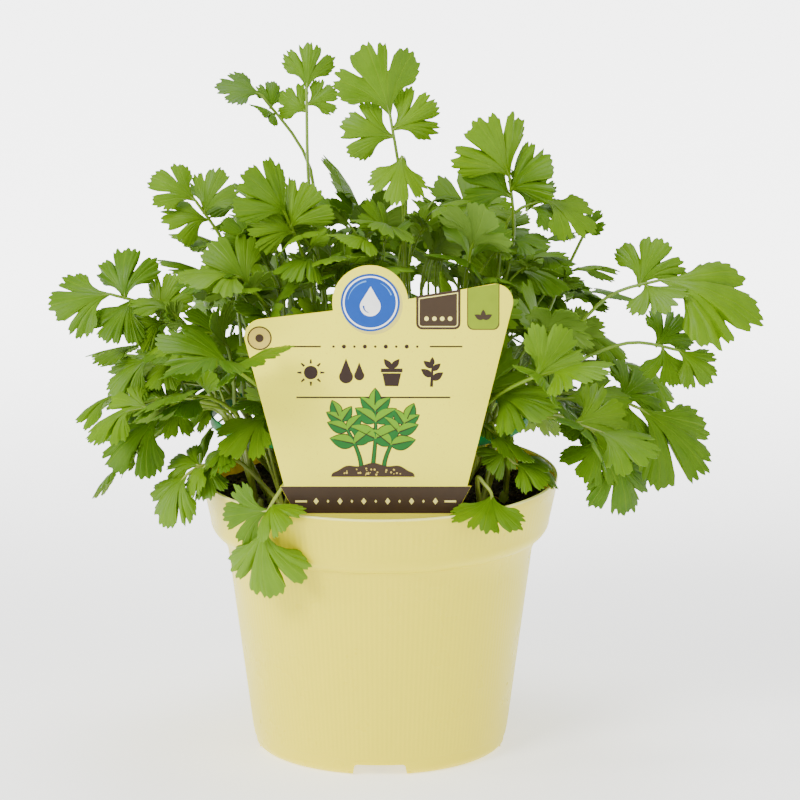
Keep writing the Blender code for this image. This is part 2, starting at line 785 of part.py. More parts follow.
def stalk_path(root, frond, tip, lean):
    """The way a stalk takes from its crown, inside or under the band, to its end leaflet."""
    aim = Vector(frond.aim).normalized()
    arches = tip.z < BAND_LEVEL + ARCH_BELOW
    if frond.low:
        flat = Vector((tip.x, tip.y, 0.0)).normalized()
        via = flat * LOW_VIA_RADIUS + Vector((0.0, 0.0, LOW_VIA_HEIGHT))
    else:
        via = root.lerp(tip, VIA_SHARE + lean)
        via.z = BAND_LEVEL + (VIA_OVER_BAND if arches else 0.0)
        via = band_limit(via, BAND_WALL / 2.0 + STALK_ROOT_RADIUS + (MM if arches else GAP))
    second = (tip - via).length
    rise = ARCH_RISE if arches and not frond.low else PLAIN_RISE
    through = ((tip - via).normalized() + Vector((0.0, 0.0, rise))).normalized()
    path = [root, via]
    for step in STALK_STEPS:
        path.append(hermite(via, through * second, tip, aim * second * TIP_PULL, step))
    path.append(tip)
    return path


def back_along(path, distance):
    """The point a given way back from a path's end, and the path's heading there."""
    left = distance
    for index in range(len(path) - 1, 0, -1):
        span = path[index] - path[index - 1]
        if span.length >= left:
            return path[index] - span.normalized() * left, span.normalized()
        left -= span.length
    return path[0], (path[1] - path[0]).normalized()


def leaflet_slots(frond, path):
    """Where a leaf's leaflets are rooted: place, heading, and length, the end one first."""
    face = Vector(frond.face).normalized()
    aim = Vector(frond.aim).normalized()
    length = frond.size * MM
    slots = [(path[-1], aim, length)]
    for pair in range(frond.pairs):
        side_length = length * frond.side_size * (1.0 - PAIR_SHRINK * pair)
        swing = math.radians(PAIR_SWING + PAIR_SWING_STEP * pair)
        for side in (-1, 1):
            back = PAIR_BACK + PAIR_STAGGER * side + (PAIR_SPACING + length * PAIR_GROWTH) * pair
            place, heading = back_along(path, back)
            turned = Matrix.Rotation(side * swing, 3, face) @ heading
            slots.append((place, turned, side_length))
    return slots


def find_path(frond, root, owner, thicket, draw):
    """A way for a stalk that is clear of all that stands, or nothing."""
    face = Vector(frond.face).normalized()
    for attempt in range(TRIES):
        loose = 0.0 if attempt == 0 else PLACE_PLAY + PLACE_PLAY_STEP * attempt
        shift = Vector([draw.uniform(-loose, loose) for axis in range(3)])
        lean = 0.0 if attempt == 0 else draw.uniform(-VIA_PLAY, VIA_PLAY)
        path = stalk_path(root, frond, Vector(frond.tip) * MM + shift, lean)
        if not thicket.hits(*stalk_mesh(path, face, STALK_CLEARANCE), owner):
            return path
    return None


def find_blade(slot, face, owner, thicket, draw):
    """A leaflet at its place, turned and shrunk until it is clear of all that stands, or nothing."""
    place, heading, length = slot
    style = [draw.uniform(*limits) for limits in (WIDTHS, NOTCHES, ARCHES, FOLDS)]
    for attempt in range(TRIES):
        spread = 0.0 if attempt == 0 else TURN_PLAY + TURN_PLAY_STEP * attempt
        forward = heading + Vector([draw.uniform(-spread, spread) for axis in range(3)])
        upper = face + Vector([draw.uniform(-spread, spread) for axis in range(3)])
        size = length * (1.0 - SHRINK * attempt / TRIES)
        tried, tried_faces = leaflet_mesh(size, *style, BLADE_CLEARANCE)
        if thicket.hits(place_leaflet(place, forward, upper, tried), tried_faces, owner):
            continue
        blade, faces = leaflet_mesh(size, *style)
        blade = place_leaflet(place, forward, upper, blade)
        fan = [corners for corners in faces if 0 not in corners]
        if attempt < TRIES * CROSSING_FROM and thicket.hits(blade, fan):
            continue
        return blade, faces
    return None


def grow_frond(frond, root, owner, thicket, draw):
    """Grow one leaf clear of all that stands. Gives the shapes to join, or nothing if there is no room."""
    face = Vector(frond.face).normalized()
    path = find_path(frond, root, owner, thicket, draw)
    if path is None:
        return []
    end, *sides = leaflet_slots(frond, path)
    blade = find_blade(end, face, owner, thicket, draw)
    if blade is None:
        return []
    shapes = [stalk_with_blade(stalk_mesh(path, face), blade)]
    thicket.add(owner, *shapes[0])
    for slot in sides:
        blade = find_blade(slot, face, owner, thicket, draw)
        if blade:
            thicket.add(owner, *blade)
            shapes.append(blade)
    return shapes


def bush_plants():
    """The seedlings that fill the bush evenly all round, by the golden angle."""
    draw = random.Random(SEED)
    tips = []
    for index in range(BUSH_FRONDS):
        rise = (index + 0.5) / BUSH_FRONDS
        turn = index * GOLDEN_ANGLE
        flat = math.sqrt(1.0 - rise * rise)
        flat_x = BUSH_REACH_X * flat * math.cos(turn)
        flat_y = BUSH_REACH_Y * flat * math.sin(turn)
        tip = Vector((flat_x, flat_y, BUSH_RISE * rise)) * draw.uniform(*BUSH_DEPTHS)
        if abs(tip.x) < CARD_FRONT_HALF:
            tip.y = max(tip.y, CARD_FRONT_LIMIT)
        tips.append((turn % math.tau, tip + Vector((0.0, 0.0, BUSH_BASE))))
    tips.sort(key=lambda entry: entry[0])
    plants = []
    for start in range(0, len(tips), FRONDS_PER_PLANT):
        group = tips[start:start + FRONDS_PER_PLANT]
        middle = sum(turn for turn, tip in group) / len(group)
        reach = CROWN_REACHES[start // FRONDS_PER_PLANT % len(CROWN_REACHES)]
        crown = (reach * math.cos(middle), reach * math.sin(middle))
        fronds = []
        for turn, tip in group:
            outward = Vector((tip.x, tip.y, 0.0)).normalized()
            rise = (tip.z - BUSH_BASE) / BUSH_RISE
            aim = outward * (1.0 - 0.5 * rise) + Vector((0.0, 0.0, rise * 1.1 - 0.25))
            aim += Vector([draw.uniform(-AIM_PLAY, AIM_PLAY) for axis in range(3)])
            face = outward * (0.85 - 0.5 * rise) + Vector((0.0, 0.0, 0.55 + 0.5 * rise))
            face += Vector([draw.uniform(-FACE_PLAY, FACE_PLAY) for axis in range(3)])
            size = draw.uniform(*BUSH_LEAFLETS)
            pairs = 2 if draw.random() < TWO_PAIR_SHARE else 1
            side_size = draw.uniform(*BUSH_SIDES)
            fronds.append(Frond(tuple(tip / MM), tuple(aim), tuple(face), size, pairs, side_size))
        plants.append(Plant(crown, tuple(fronds)))
    return plants


def clear_crowns(plants):
    """Where each crown stands, moved apart where two would crowd each other or the card."""
    crowns = []
    for plant in plants:
        place = Vector((plant.crown[0] * MM, plant.crown[1] * MM))
        for attempt in range(CROWN_TRIES):
            crowded = [other for other in crowns if (other - place).length < CROWN_SPACING]
            if not crowded:
                break
            away = place - crowded[0]
            push = away.normalized() if away.length > 0.1 * MM else Vector((1.0, 0.0))
            turn = Matrix.Rotation(0.7 * attempt, 2)
            place = place + (turn @ push) * (CROWN_SPACING - away.length + GAP)
        crowns.append(place)
    return [(place.x, place.y) for place in crowns]


def crown_shape(crown):
    """Points and faces of the short crown that a seedling's stalks spring from, down in its hole."""
    return rod(crown, CROWN_RADIUS, SOIL_TOP - CROWN_DEPTH, SOIL_TOP + CROWN_RISE, CROWN_SIDES)


def join_plant(owner, crown, shapes, material):
    """Join a crown and its leaves in one solid, nudged by a hair where the joint fails."""
    draw = random.Random(SEED)
    for attempt in range(TRIES):
        nudge = NUDGE * attempt
        plant = make_object(owner, *crown_shape(crown), material)
        parts = []
        for points, faces in shapes:
            shift = Vector([draw.uniform(-nudge, nudge) for axis in range(3)])
            parts.append(make_object("shape", [point + shift for point in points], faces))
        if boolean(plant, parts, "UNION"):
            return
        bpy.data.objects.remove(plant, do_unlink=True)


def grow_plants():
    """The shapes of every seedling, clear of the pot, the label, the band and each other."""
    draw = random.Random(SEED)
    plants = list(CHOSEN_PLANTS) + bush_plants()
    crowns = clear_crowns(plants)
    names = [f"plant_{number:02d}" for number in range(1, len(plants) + 1)]
    thicket = Thicket()
    for owner, shape in (("pot", pot_shell()), ("label", label_shape()), ("support_band", band_shape())):
        thicket.add(owner, *shape)
    for owner, crown in zip(names, crowns):
        thicket.add(owner, *crown_shape(crown))
    grown = []
    for owner, plant, crown in zip(names, plants, crowns):
        shapes = []
        for order, frond in enumerate(plant.fronds):
            outward = Vector((frond.tip[0], frond.tip[1], 0.0)).normalized() * ROOT_SPREAD
            root = Vector((crown[0], crown[1], SOIL_TOP + ROOT_RISE - ROOT_STEP * order)) + outward
            shapes += grow_frond(frond, root, owner, thicket, draw)
        grown.append((owner, crown, shapes))
    return grown


def main():
    """Build the whole part."""
    clear_scene()
    materials = {name: make_material(name) for name in COLOURS}
    make_pot(materials["pot"])
    make_object("label", *label_shape(), materials["label"])
    make_object("support_band", *band_shape(), materials["support_band"])
    grown = grow_plants()
    for owner, crown, shapes in grown:
        join_plant(owner, crown, shapes, materials["plant"])
    make_soil(materials["soil"], [crown for owner, crown, shapes in grown])


if __name__ == "__main__":
    main()
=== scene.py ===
"""The looks of a coriander plant in a ribbed nursery pot, with a card label and a band round its stems.

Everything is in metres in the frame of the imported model: +Z up, the origin in the middle of the pot's
flat base, and the label facing -Y.
"""

from __future__ import annotations

import logging
import math
from dataclasses import dataclass
from enum import Enum
from random import Random

import bmesh
import bpy
import numpy as np
from mathutils import Matrix, Vector
from mathutils.bvhtree import BVHTree

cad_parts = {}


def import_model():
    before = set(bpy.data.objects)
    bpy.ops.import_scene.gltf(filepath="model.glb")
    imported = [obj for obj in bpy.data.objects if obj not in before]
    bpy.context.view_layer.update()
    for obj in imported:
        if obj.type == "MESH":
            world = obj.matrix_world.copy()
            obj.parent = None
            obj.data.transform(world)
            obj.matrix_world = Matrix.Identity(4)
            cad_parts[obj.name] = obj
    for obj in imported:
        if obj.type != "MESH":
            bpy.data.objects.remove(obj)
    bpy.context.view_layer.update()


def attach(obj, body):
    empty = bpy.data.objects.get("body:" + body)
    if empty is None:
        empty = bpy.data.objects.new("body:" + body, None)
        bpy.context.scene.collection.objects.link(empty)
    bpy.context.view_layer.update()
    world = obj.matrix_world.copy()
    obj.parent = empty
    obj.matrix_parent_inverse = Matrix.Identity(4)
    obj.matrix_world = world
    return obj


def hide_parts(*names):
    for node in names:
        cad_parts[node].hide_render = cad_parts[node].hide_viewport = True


LOG = logging.getLogger("coriander")
MM = 0.001
BODY = "root"

Piece = bpy.types.Object
Finish = bpy.types.Material
Node = bpy.types.Node
Socket = bpy.types.NodeSocket
Tree = bpy.types.NodeTree
Pair = tuple[float, float]
Triple = tuple[float, float, float]
Colour = tuple[float, float, float, float]
Outline = list[Pair]
Points = list[Vector]
Faces = list[tuple[int, ...]]
Shape = tuple[Points, Faces]


class Slot(Enum):
    """The record's material slots."""

    POT = "pot"
    SOIL = "soil"
    LABEL = "label"
    BAND = "support_band"
    PLANT = "plant"


def deselect() -> None:
    """Leave nothing selected, so that an operator acts on the new piece alone."""
    if bpy.context.mode != "OBJECT":
        bpy.ops.object.mode_set(mode="OBJECT")
    bpy.ops.object.select_all(action="DESELECT")


def pick(*pieces: Piece) -> None:
    """Select these pieces alone, the first one active.

    Args:
        pieces: what the next operator acts on.
    """
    deselect()
    for piece in pieces:
        piece.select_set(True)
    bpy.context.view_layer.objects.active = pieces[0]


def active_piece(name: str) -> Piece:
    """Name the primitive that was just added, and its mesh.

    Args:
        name: the piece's name.

    Returns:
        The piece.
    """
    piece = bpy.context.active_object
    piece.name = name
    piece.data.name = name
    return piece


def settle(piece: Piece) -> None:
    """Bring a piece's place, turn and size into its mesh."""
    pick(piece)
    bpy.ops.object.transform_apply(location=True, rotation=True, scale=True)


def apply_modifiers(piece: Piece) -> None:
    """Apply every modifier of a piece, in order.

    Args:
        piece: the piece to finish.
    """
    pick(piece)
    for modifier in list(piece.modifiers):
        bpy.ops.object.modifier_apply(modifier=modifier.name)


def join(name: str, pieces: list[Piece]) -> Piece:
    """Join pieces in one object.

    Args:
        name: the joined piece's name.
        pieces: what is joined; the first one gives its origin.

    Returns:
        The joined piece, settled.
    """
    pick(*pieces)
    bpy.ops.object.join()
    piece = active_piece(name)
    settle(piece)
    return piece


def smooth(piece: Piece, angle: float) -> None:
    """Shade a piece smooth, with sharp edges where it turns by more than this angle in degrees."""
    pick(piece)
    bpy.ops.object.shade_smooth_by_angle(angle=math.radians(angle))


def mesh_piece(name: str, points: list, faces: Faces) -> Piece:
    """Make a piece from points and faces.

    Args:
        name: its name.
        points: its points.
        faces: its faces.

    Returns:
        The piece.
    """
    mesh = bpy.data.meshes.new(name)
    mesh.from_pydata(points, [], faces)
    piece = bpy.data.objects.new(name, mesh)
    bpy.context.scene.collection.objects.link(piece)
    return piece


def dress(piece: Piece, node: str, finish: Finish | None = None, angle: float = 0.0) -> None:
    """Shade and colour a piece, ride it on the body, and hide the node that it replaces.

    Args:
        piece: the finished piece.
        node: the node that it replaces.
        finish: its material, where it has none yet.
        angle: the angle in degrees past which its edges stay sharp, or 0 where it is shaded flat.
    """
    if angle:
        smooth(piece, angle)
    if finish:
        piece.data.materials.clear()
        piece.data.materials.append(finish)
    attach(piece, BODY)
    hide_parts(node)
    LOG.info("%s: %d faces", piece.name, len(piece.data.polygons))


class Graph:
    """The nodes of a material or a group, added and joined by short calls."""

    def __init__(self, tree: Tree) -> None:
        """Start on a material's or a group's node tree."""
        self.tree = tree

    def node(self, kind: str, **settings: object) -> Node:
        """Add a node.

        Args:
            kind: its type, without the ShaderNode prefix.
            settings: properties to set on it.

        Returns:
            The node.
        """
        made = self.tree.nodes.new("ShaderNode" + kind)
        for name, value in settings.items():
            setattr(made, name, value)
        return made

    def feed(self, socket: Socket, value: object) -> None:
        """Set a socket, or link it to another one.

        Args:
            socket: the input.
            value: a number, a colour, a vector or an output socket.
        """
        if isinstance(value, Socket):
            self.tree.links.new(value, socket)
        else:
            socket.default_value = value

    def fill(self, made: Node, **values: object) -> Node:
        """Feed a node's inputs.

        Args:
            made: the node.
            values: its inputs by name, with _ for a space.

        Returns:
            The node.
        """
        for name, value in values.items():
            self.feed(made.inputs[name.replace("_", " ")], value)
        return made

    def math(self, operation: str, *values: object, clamp: bool = False) -> Socket:
        """Add a Math node.

        Args:
            operation: its operation.
            values: its inputs in order.
            clamp: whether it is kept between 0 and 1.

        Returns:
            Its output.
        """
        made = self.node("Math", operation=operation, use_clamp=clamp)
        for socket, value in zip(made.inputs, values):
            self.feed(socket, value)
        return made.outputs[0]

    def blend(self, share: object, first: object, second: object) -> Socket:
        """Mix two colours.

        Args:
            share: how much of the second one.
            first: the first colour.
            second: the second colour.

        Returns:
            The mixed colour.
        """
        made = self.node("Mix", data_type="RGBA")
        for index, value in ((0, share), (6, first), (7, second)):
            self.feed(made.inputs[index], value)
        return made.outputs[2]

    def ramp(self, value: object, low: float, high: float, start: float = 0.0, end: float = 1.0) -> Socket:
        """Spread a range of a value over another, with soft ends.

        Args:
            value: the input.
            low: where the result is start.
            high: where the result is end.
            start: the result at low.
            end: the result at high.

        Returns:
            The result.
        """
        made = self.node("MapRange", interpolation_type="SMOOTHSTEP")
        self.fill(made, Value=value, From_Min=low, From_Max=high, To_Min=start, To_Max=end)
        return made.outputs["Result"]

    def noise(self, vector: object, scale: float, detail: float = 3.0) -> Socket:
        """Give a Noise texture's value, by the bumps to a metre and the octaves."""
        return self.fill(self.node("TexNoise"), Vector=vector, Scale=scale, Detail=detail).outputs["Fac"]

    def axis(self, vector: Socket, name: str) -> Socket:
        """Give one axis of a vector."""
        return self.fill(self.node("SeparateXYZ"), Vector=vector).outputs[name]

    def attribute(self, name: str) -> Socket:
        """Give a mesh attribute's value."""
        return self.node("Attribute", attribute_name=name).outputs["Fac"]

    def bump(self, height: object, distance: float, strength: float = 1.0) -> Socket:
        """Turn a height from 0 to 1 into a normal, by its full height in metres and how much of it shows."""
        made = self.fill(self.node("Bump"), Strength=strength, Distance=distance, Height=height)
        return made.outputs["Normal"]

    def drift(self, place: Socket, colour: object, scale: float, amount: float) -> Socket:
        """Lighten and darken a colour in soft patches, by the patches to a metre and how far it drifts."""
        made = self.node("Group", node_tree=tone_drift())
        return self.fill(made, Place=place, Colour=colour, Scale=scale, Amount=amount).outputs["Colour"]


def new_group(name: str, inputs: dict[str, str], outputs: dict[str, str]) -> tuple[Graph, dict, dict]:
    """Start a shader node group.

    Args:
        name: its name.
        inputs: socket types by name.
        outputs: socket types by name.

    Returns:
        Its graph, its input sockets and its output sockets, by name.
    """
    tree = bpy.data.node_groups.new(name, "ShaderNodeTree")
    for direction, sockets in (("INPUT", inputs), ("OUTPUT", outputs)):
        for socket, kind in sockets.items():
            tree.interface.new_socket(name=socket, in_out=direction, socket_type="NodeSocket" + kind)
    graph = Graph(tree)
    entry = tree.nodes.new("NodeGroupInput")
    leave = tree.nodes.new("NodeGroupOutput")
    given = {name: entry.outputs[name] for name in inputs}
    return graph, given, {name: leave.inputs[name] for name in outputs}


def tone_drift() -> Tree:
    """Make the group that lightens and darkens a colour in soft patches.

    Returns:
        The group: Place, Colour, Scale and Amount in, Colour out.
    """
    known = bpy.data.node_groups.get("tone drift")
    if known:
        return known
    graph, given, out = new_group("tone drift", {"Place": "Vector", "Colour": "Color", "Scale": "Float",
                                                 "Amount": "Float"}, {"Colour": "Color"})
    patches = graph.noise(given["Place"], given["Scale"], 4.0)
    swing = graph.math("MULTIPLY", graph.math("SUBTRACT", patches, 0.5), given["Amount"])
    scaled = graph.node("VectorMath", operation="SCALE")
    graph.feed(scaled.inputs[0], given["Colour"])
    graph.feed(scaled.inputs["Scale"], graph.math("ADD", swing, 1.0))
    graph.feed(out["Colour"], scaled.outputs[0])
    return graph.tree


def leaf_veins() -> Tree:
    """Make the group that draws a leaflet's veins, fanning out from its base.

    Returns:
        The group: Blade in, with its x across the fan and its y from base to edge, and Veins out.
    """
    known = bpy.data.node_groups.get("leaf veins")
    if known:
        return known
    graph, given, out = new_group("leaf veins", {"Blade": "Vector"}, {"Veins": "Float"})
    across, along = (graph.axis(given["Blade"], name) for name in "XY")

    def lines(count: float, width: float, start: float, full: float) -> Socket:
        """Draw evenly spread lines, in shares of the blade."""
        cell = graph.math("FRACT", graph.math("MULTIPLY", across, count))
        off = graph.math("MULTIPLY", graph.math("ABSOLUTE", graph.math("SUBTRACT", cell, 0.5)), 2.0 / count)
        line = graph.ramp(graph.math("MULTIPLY", off, along), 0.0, width, 1.0, 0.0)
        return graph.math("MULTIPLY", line, graph.ramp(along, start, full))

    main = lines(7.0, 0.016, 0.02, 0.12)
    fine = graph.math("MULTIPLY", lines(21.0, 0.008, 0.38, 0.62), 0.6)
    graph.feed(out["Veins"], graph.math("MAXIMUM", main, fine))
    return graph.tree


def start_material(name: str) -> tuple[Finish, Graph, Node, Socket]:
    """Start a material with a Principled shader.

    Args:
        name: its name.

    Returns:
        The material, its graph, its shader and the object coordinates.
    """
    material = bpy.data.materials.new(name)
    material.use_nodes = True
    graph = Graph(material.node_tree)
    return material, graph, graph.tree.nodes["Principled BSDF"], graph.node("TexCoord").outputs["Object"]


@dataclass(frozen=True)
class PotPlastic:
    """Pale yellow moulded plastic, satin and a little see-through in depth, with painted shade in its rib
    valleys and a painted highlight on the rim's lip.
    """

    colour: Colour = (0.83, 0.70, 0.0, 1.0)
    # painted shade: the darker colour laid in the rib valleys so that the ribs show
    thick: Colour = (0.78, 0.66, 0.0, 1.0)
    # painted highlight: the paler colour laid on the rim's lip, standing in for light on its top
    edge: Colour = (0.97, 0.92, 0.30, 1.0)
    lip_highlight_span: Pair = (101.5 * MM, 102.3 * MM)
    roughness: Pair = (0.26, 0.36)
    glow: float = 0.25

    def make(self) -> Finish:
        """Build the material."""
        material, graph, shader, place = start_material("pot plastic")
        # painted shade: the rib valleys take the darker thick colour, the crests the plain one
        ribbed = graph.blend(graph.ramp(graph.attribute("rib"), -1.0, 1.0), self.thick, self.colour)
        # painted highlight: the rim's lip turns to the paler edge colour between the two heights
        ribbed = graph.blend(graph.ramp(graph.axis(place, "Z"), *self.lip_highlight_span), ribbed, self.edge)
        graph.fill(shader, Base_Color=graph.drift(place, ribbed, 14.0, 0.08), Specular_IOR_Level=0.35,
                   Roughness=graph.ramp(graph.noise(place, 60.0), 0.3, 0.7, *self.roughness),
                   Normal=graph.bump(graph.noise(place, 900.0, 2.0), 0.02 * MM, 0.5),
                   Subsurface_Weight=self.glow, Subsurface_Radius=(1.0, 0.85, 0.2),
                   Subsurface_Scale=3.0 * MM)
        return material


@dataclass(frozen=True)
class PottingSoil:
    """Damp, dark, crumbly soil, with its lighter and drier bits."""

    dark: Colour = (0.020, 0.012, 0.007, 1.0)
    light: Colour = (0.075, 0.045, 0.024, 1.0)
    dry: Colour = (0.33, 0.17, 0.06, 1.0)

    def make(self) -> Finish:
        """Build the material."""
        material, graph, shader, place = start_material("potting soil")
        grain = graph.noise(place, 700.0, 5.0)
        colour = graph.blend(graph.ramp(grain, 0.4, 0.72), self.dark, self.light)
        graph.fill(shader, Base_Color=graph.blend(graph.attribute("dry"), colour, self.dry), Roughness=0.9,
                   Normal=graph.bump(grain, 0.6 * MM))
        return material


@dataclass(frozen=True)
class LabelCard:
    """Pale yellow card with a fine printed fleck."""

    colour: Colour = (0.96, 0.87, 0.040, 1.0)
    fleck: Colour = (0.80, 0.66, 0.04, 1.0)

    def make(self) -> Finish:
        """Build the material."""
        material, graph, shader, place = start_material("label card")
        flecks = graph.math("MULTIPLY", graph.ramp(graph.noise(place, 1500.0, 1.0), 0.66, 0.74), 0.55)
        colour = graph.blend(flecks, graph.drift(place, self.colour, 30.0, 0.08), self.fleck)
        graph.fill(shader, Base_Color=colour, Roughness=0.6, Specular_IOR_Level=0.25,
                   Normal=graph.bump(graph.noise(place, 2500.0, 2.0), 0.01 * MM, 0.4))
        return material


@dataclass(frozen=True)
class Ink:
    """A flat printing ink, a little uneven on the card."""

    name: str
    colour: Colour
    roughness: float = 0.45

    def make(self) -> Finish:
        """Build the material."""
        material, graph, shader, place = start_material(self.name)
        graph.fill(shader, Base_Color=graph.drift(place, self.colour, 260.0, 0.22), Roughness=self.roughness,
                   Specular_IOR_Level=0.2)
        return material


class Inks(Enum):
    """The label's printing inks."""

    BROWN = Ink("ink brown", (0.044, 0.026, 0.013, 1.0))
    DARK = Ink("ink dark brown", (0.026, 0.013, 0.008, 1.0))
    BLUE = Ink("ink blue", (0.003, 0.062, 0.330, 1.0), 0.35)
    SKY = Ink("ink light blue", (0.110, 0.310, 0.700, 1.0), 0.35)
    WHITE = Ink("ink white", (0.88, 0.88, 0.86, 1.0), 0.35)
    LIME = Ink("ink lime", (0.210, 0.300, 0.0, 1.0))
    TAN = Ink("ink tan", (0.600, 0.460, 0.070, 1.0))
    CREAM = Ink("ink cream", (0.900, 0.800, 0.200, 1.0))
    LEAF = Ink("ink leaf green", (0.008, 0.120, 0.014, 1.0))
    FRESH = Ink("ink fresh green", (0.120, 0.300, 0.0, 1.0))
    SHADE = Ink("ink card shade", (0.640, 0.560, 0.110, 1.0))


@dataclass(frozen=True)
class BandPlastic:
    """Smooth green plastic strip."""

    colour: Colour = (0.0, 0.190, 0.030, 1.0)

    def make(self) -> Finish:
        """Build the material."""
        material, graph, shader, place = start_material("band plastic")
        graph.fill(shader, Base_Color=graph.drift(place, self.colour, 80.0, 0.25), Roughness=0.5,
                   Specular_IOR_Level=0.2, Normal=graph.bump(graph.noise(place, 500.0, 2.0), 0.03 * MM, 0.4))
        return material


@dataclass(frozen=True)
class LeafSkin:
    """A living leaf: yellow-green above with paler veins, grey-green below, and light coming through."""

    deep: Colour = (0.056, 0.150, 0.0, 1.0)
    bright: Colour = (0.165, 0.318, 0.0, 1.0)
    vein: Colour = (0.250, 0.400, 0.002, 1.0)
    under: Colour = (0.190, 0.310, 0.050, 1.0)
    through: Colour = (0.250, 0.440, 0.0, 1.0)
    light_through: float = 0.32
    underside: bool = False

    def make(self) -> Finish:
        """Build the material."""
        material, graph, shader, place = start_material("leaf underside" if self.underside else "leaf skin")
        veins = graph.node("Group", node_tree=leaf_veins())
        graph.fill(veins, Blade=graph.node("UVMap", uv_map="blade").outputs["UV"])
        veins = veins.outputs["Veins"]
        patches = graph.noise(place, 160.0)
        drift = graph.math("MULTIPLY", graph.math("SUBTRACT", patches, 0.5), 0.7)
        tone = graph.math("ADD", graph.attribute("tone"), drift, clamp=True)
        colour = graph.blend(tone, self.deep, self.bright)
        colour = graph.blend(graph.math("MULTIPLY", veins, 0.28), colour, self.vein)
        dull = 0.0
        if self.underside:
            colour = graph.blend(0.6, colour, self.under)
            dull = 0.18
        height = graph.math("SUBTRACT", graph.math("MULTIPLY", graph.noise(place, 900.0, 2.0), 0.35), veins)
        normal = graph.bump(height, 0.09 * MM)
        graph.fill(shader, Base_Color=colour, Normal=normal, Specular_IOR_Level=0.28,
                   Roughness=graph.ramp(patches, 0.3, 0.7, 0.36 + dull, 0.50 + dull))
        glow = graph.node("BsdfTranslucent")
        graph.fill(glow, Color=graph.blend(tone, self.bright, self.through), Normal=normal)
        both = graph.node("MixShader")
        for index, value in enumerate((self.light_through, shader.outputs[0], glow.outputs[0])):
            graph.feed(both.inputs[index], value)
        graph.feed(graph.tree.nodes["Material Output"].inputs["Surface"], both.outputs[0])
        return material


@dataclass(frozen=True)
class StalkSkin:
    """A juicy stalk: green above, pale and yellowish where it comes out of the soil."""

    green: Colour = (0.130, 0.230, 0.005, 1.0)
    pale: Colour = (0.330, 0.400, 0.060, 1.0)
    span: Pair = (96.0 * MM, 150.0 * MM)

    def make(self) -> Finish:
        """Build the material."""
        material, graph, shader, place = start_material("stalk skin")
        colour = graph.blend(graph.ramp(graph.axis(place, "Z"), *self.span), self.pale, self.green)
        graph.fill(shader, Base_Color=graph.drift(place, colour, 220.0, 0.5), Roughness=0.38,
                   Normal=graph.bump(graph.noise(place, 1200.0, 2.0), 0.05 * MM, 0.6),
                   Subsurface_Weight=0.15, Subsurface_Radius=(0.5, 1.0, 0.1), Subsurface_Scale=MM)
        return material


@dataclass(frozen=True)
class FloorPaint:
    """The plain pale floor, lit up behind the plant like a studio sheet."""

    colour: Colour = (0.90, 0.90, 0.90, 1.0)
    span: Pair = (0.10, 0.80)
    glow: Pair = (1.1, 4.0)

    def make(self) -> Finish:
        """Build the material."""
        material, graph, shader, place = start_material("floor paint")
        graph.fill(shader, Base_Color=self.colour, Roughness=0.75, Emission_Color=(1.0, 1.0, 1.0, 1.0),
                   Emission_Strength=graph.ramp(graph.axis(place, "Y"), *self.span, *self.glow))
        return material


def walls(count: int, low: int, high: int) -> Faces:
    """Join two rings of as many points by faces, from the first point of the lower and the upper ring."""
    steps = [(step, (step + 1) % count) for step in range(count)]
    return [(low + step, low + after, high + after, high + step) for step, after in steps]


def turned_shape(profile: Outline, sides: int, centre: Pair = (0.0, 0.0), shift: float = 0.0) -> Shape:
    """Turn an outline of radii and heights round an upright axis, and close its two ends flat.

    Args:
        profile: the outline, run up its outer side.
        sides: steps in a turn.
        centre: where the axis stands.
        shift: the first corner's place, in steps.

    Returns:
        Its points and faces.
    """
    turns = [math.tau * (step + shift) / sides for step in range(sides)]
    points = [Vector((centre[0] + radius * math.cos(turn), centre[1] + radius * math.sin(turn), height))
              for radius, height in profile for turn in turns]
    faces = [tuple(reversed(range(sides))), tuple(range(len(points) - sides, len(points)))]
    for ring in range(len(profile) - 1):
        faces += walls(sides, ring * sides, (ring + 1) * sides)
    return points, faces


def arc(centre: Pair, radius: float, start: float, end: float, steps: int) -> Outline:
    """Give the points of an arc from one angle to another in a number of steps, ends included."""
    turns = [start + (end - start) * step / steps for step in range(steps + 1)]
    return [(centre[0] + radius * math.cos(turn), centre[1] + radius * math.sin(turn)) for turn in turns]


def close_ends() -> None:
    """Close the open edges of the piece in edit mode, and turn its faces outwards."""
    bpy.ops.mesh.select_all(action="SELECT")
    bpy.ops.mesh.fill_holes(sides=0)
    bpy.ops.mesh.select_all(action="SELECT")
    bpy.ops.mesh.normals_make_consistent(inside=False)
    bpy.ops.object.mode_set(mode="OBJECT")


def turn_rings(name: str, profile: Outline, sides: int) -> Piece:
    """Turn a profile by extruding a ring from each of its points to the next, and close both ends.

    Args:
        name: the piece's name.
        profile: radii and heights in order, none of them on the axis.
        sides: vertices in a ring.

    Returns:
        The piece, closed, with its faces pointing out.
    """
    deselect()
    radius, height = profile[0]
    bpy.ops.mesh.primitive_circle_add(vertices=sides, radius=radius, location=(0.0, 0.0, height))
    piece = active_piece(name)
    bpy.ops.object.mode_set(mode="EDIT")
    bpy.ops.mesh.select_all(action="SELECT")
    for next_radius, next_height in profile[1:]:
        bpy.ops.mesh.extrude_region_move(TRANSFORM_OT_translate={"value": (0.0, 0.0, next_height - height)})
        grow = next_radius / radius
        bpy.ops.transform.resize(value=(grow, grow, 1.0))
        radius, height = next_radius, next_height
    close_ends()
    settle(piece)
    return piece


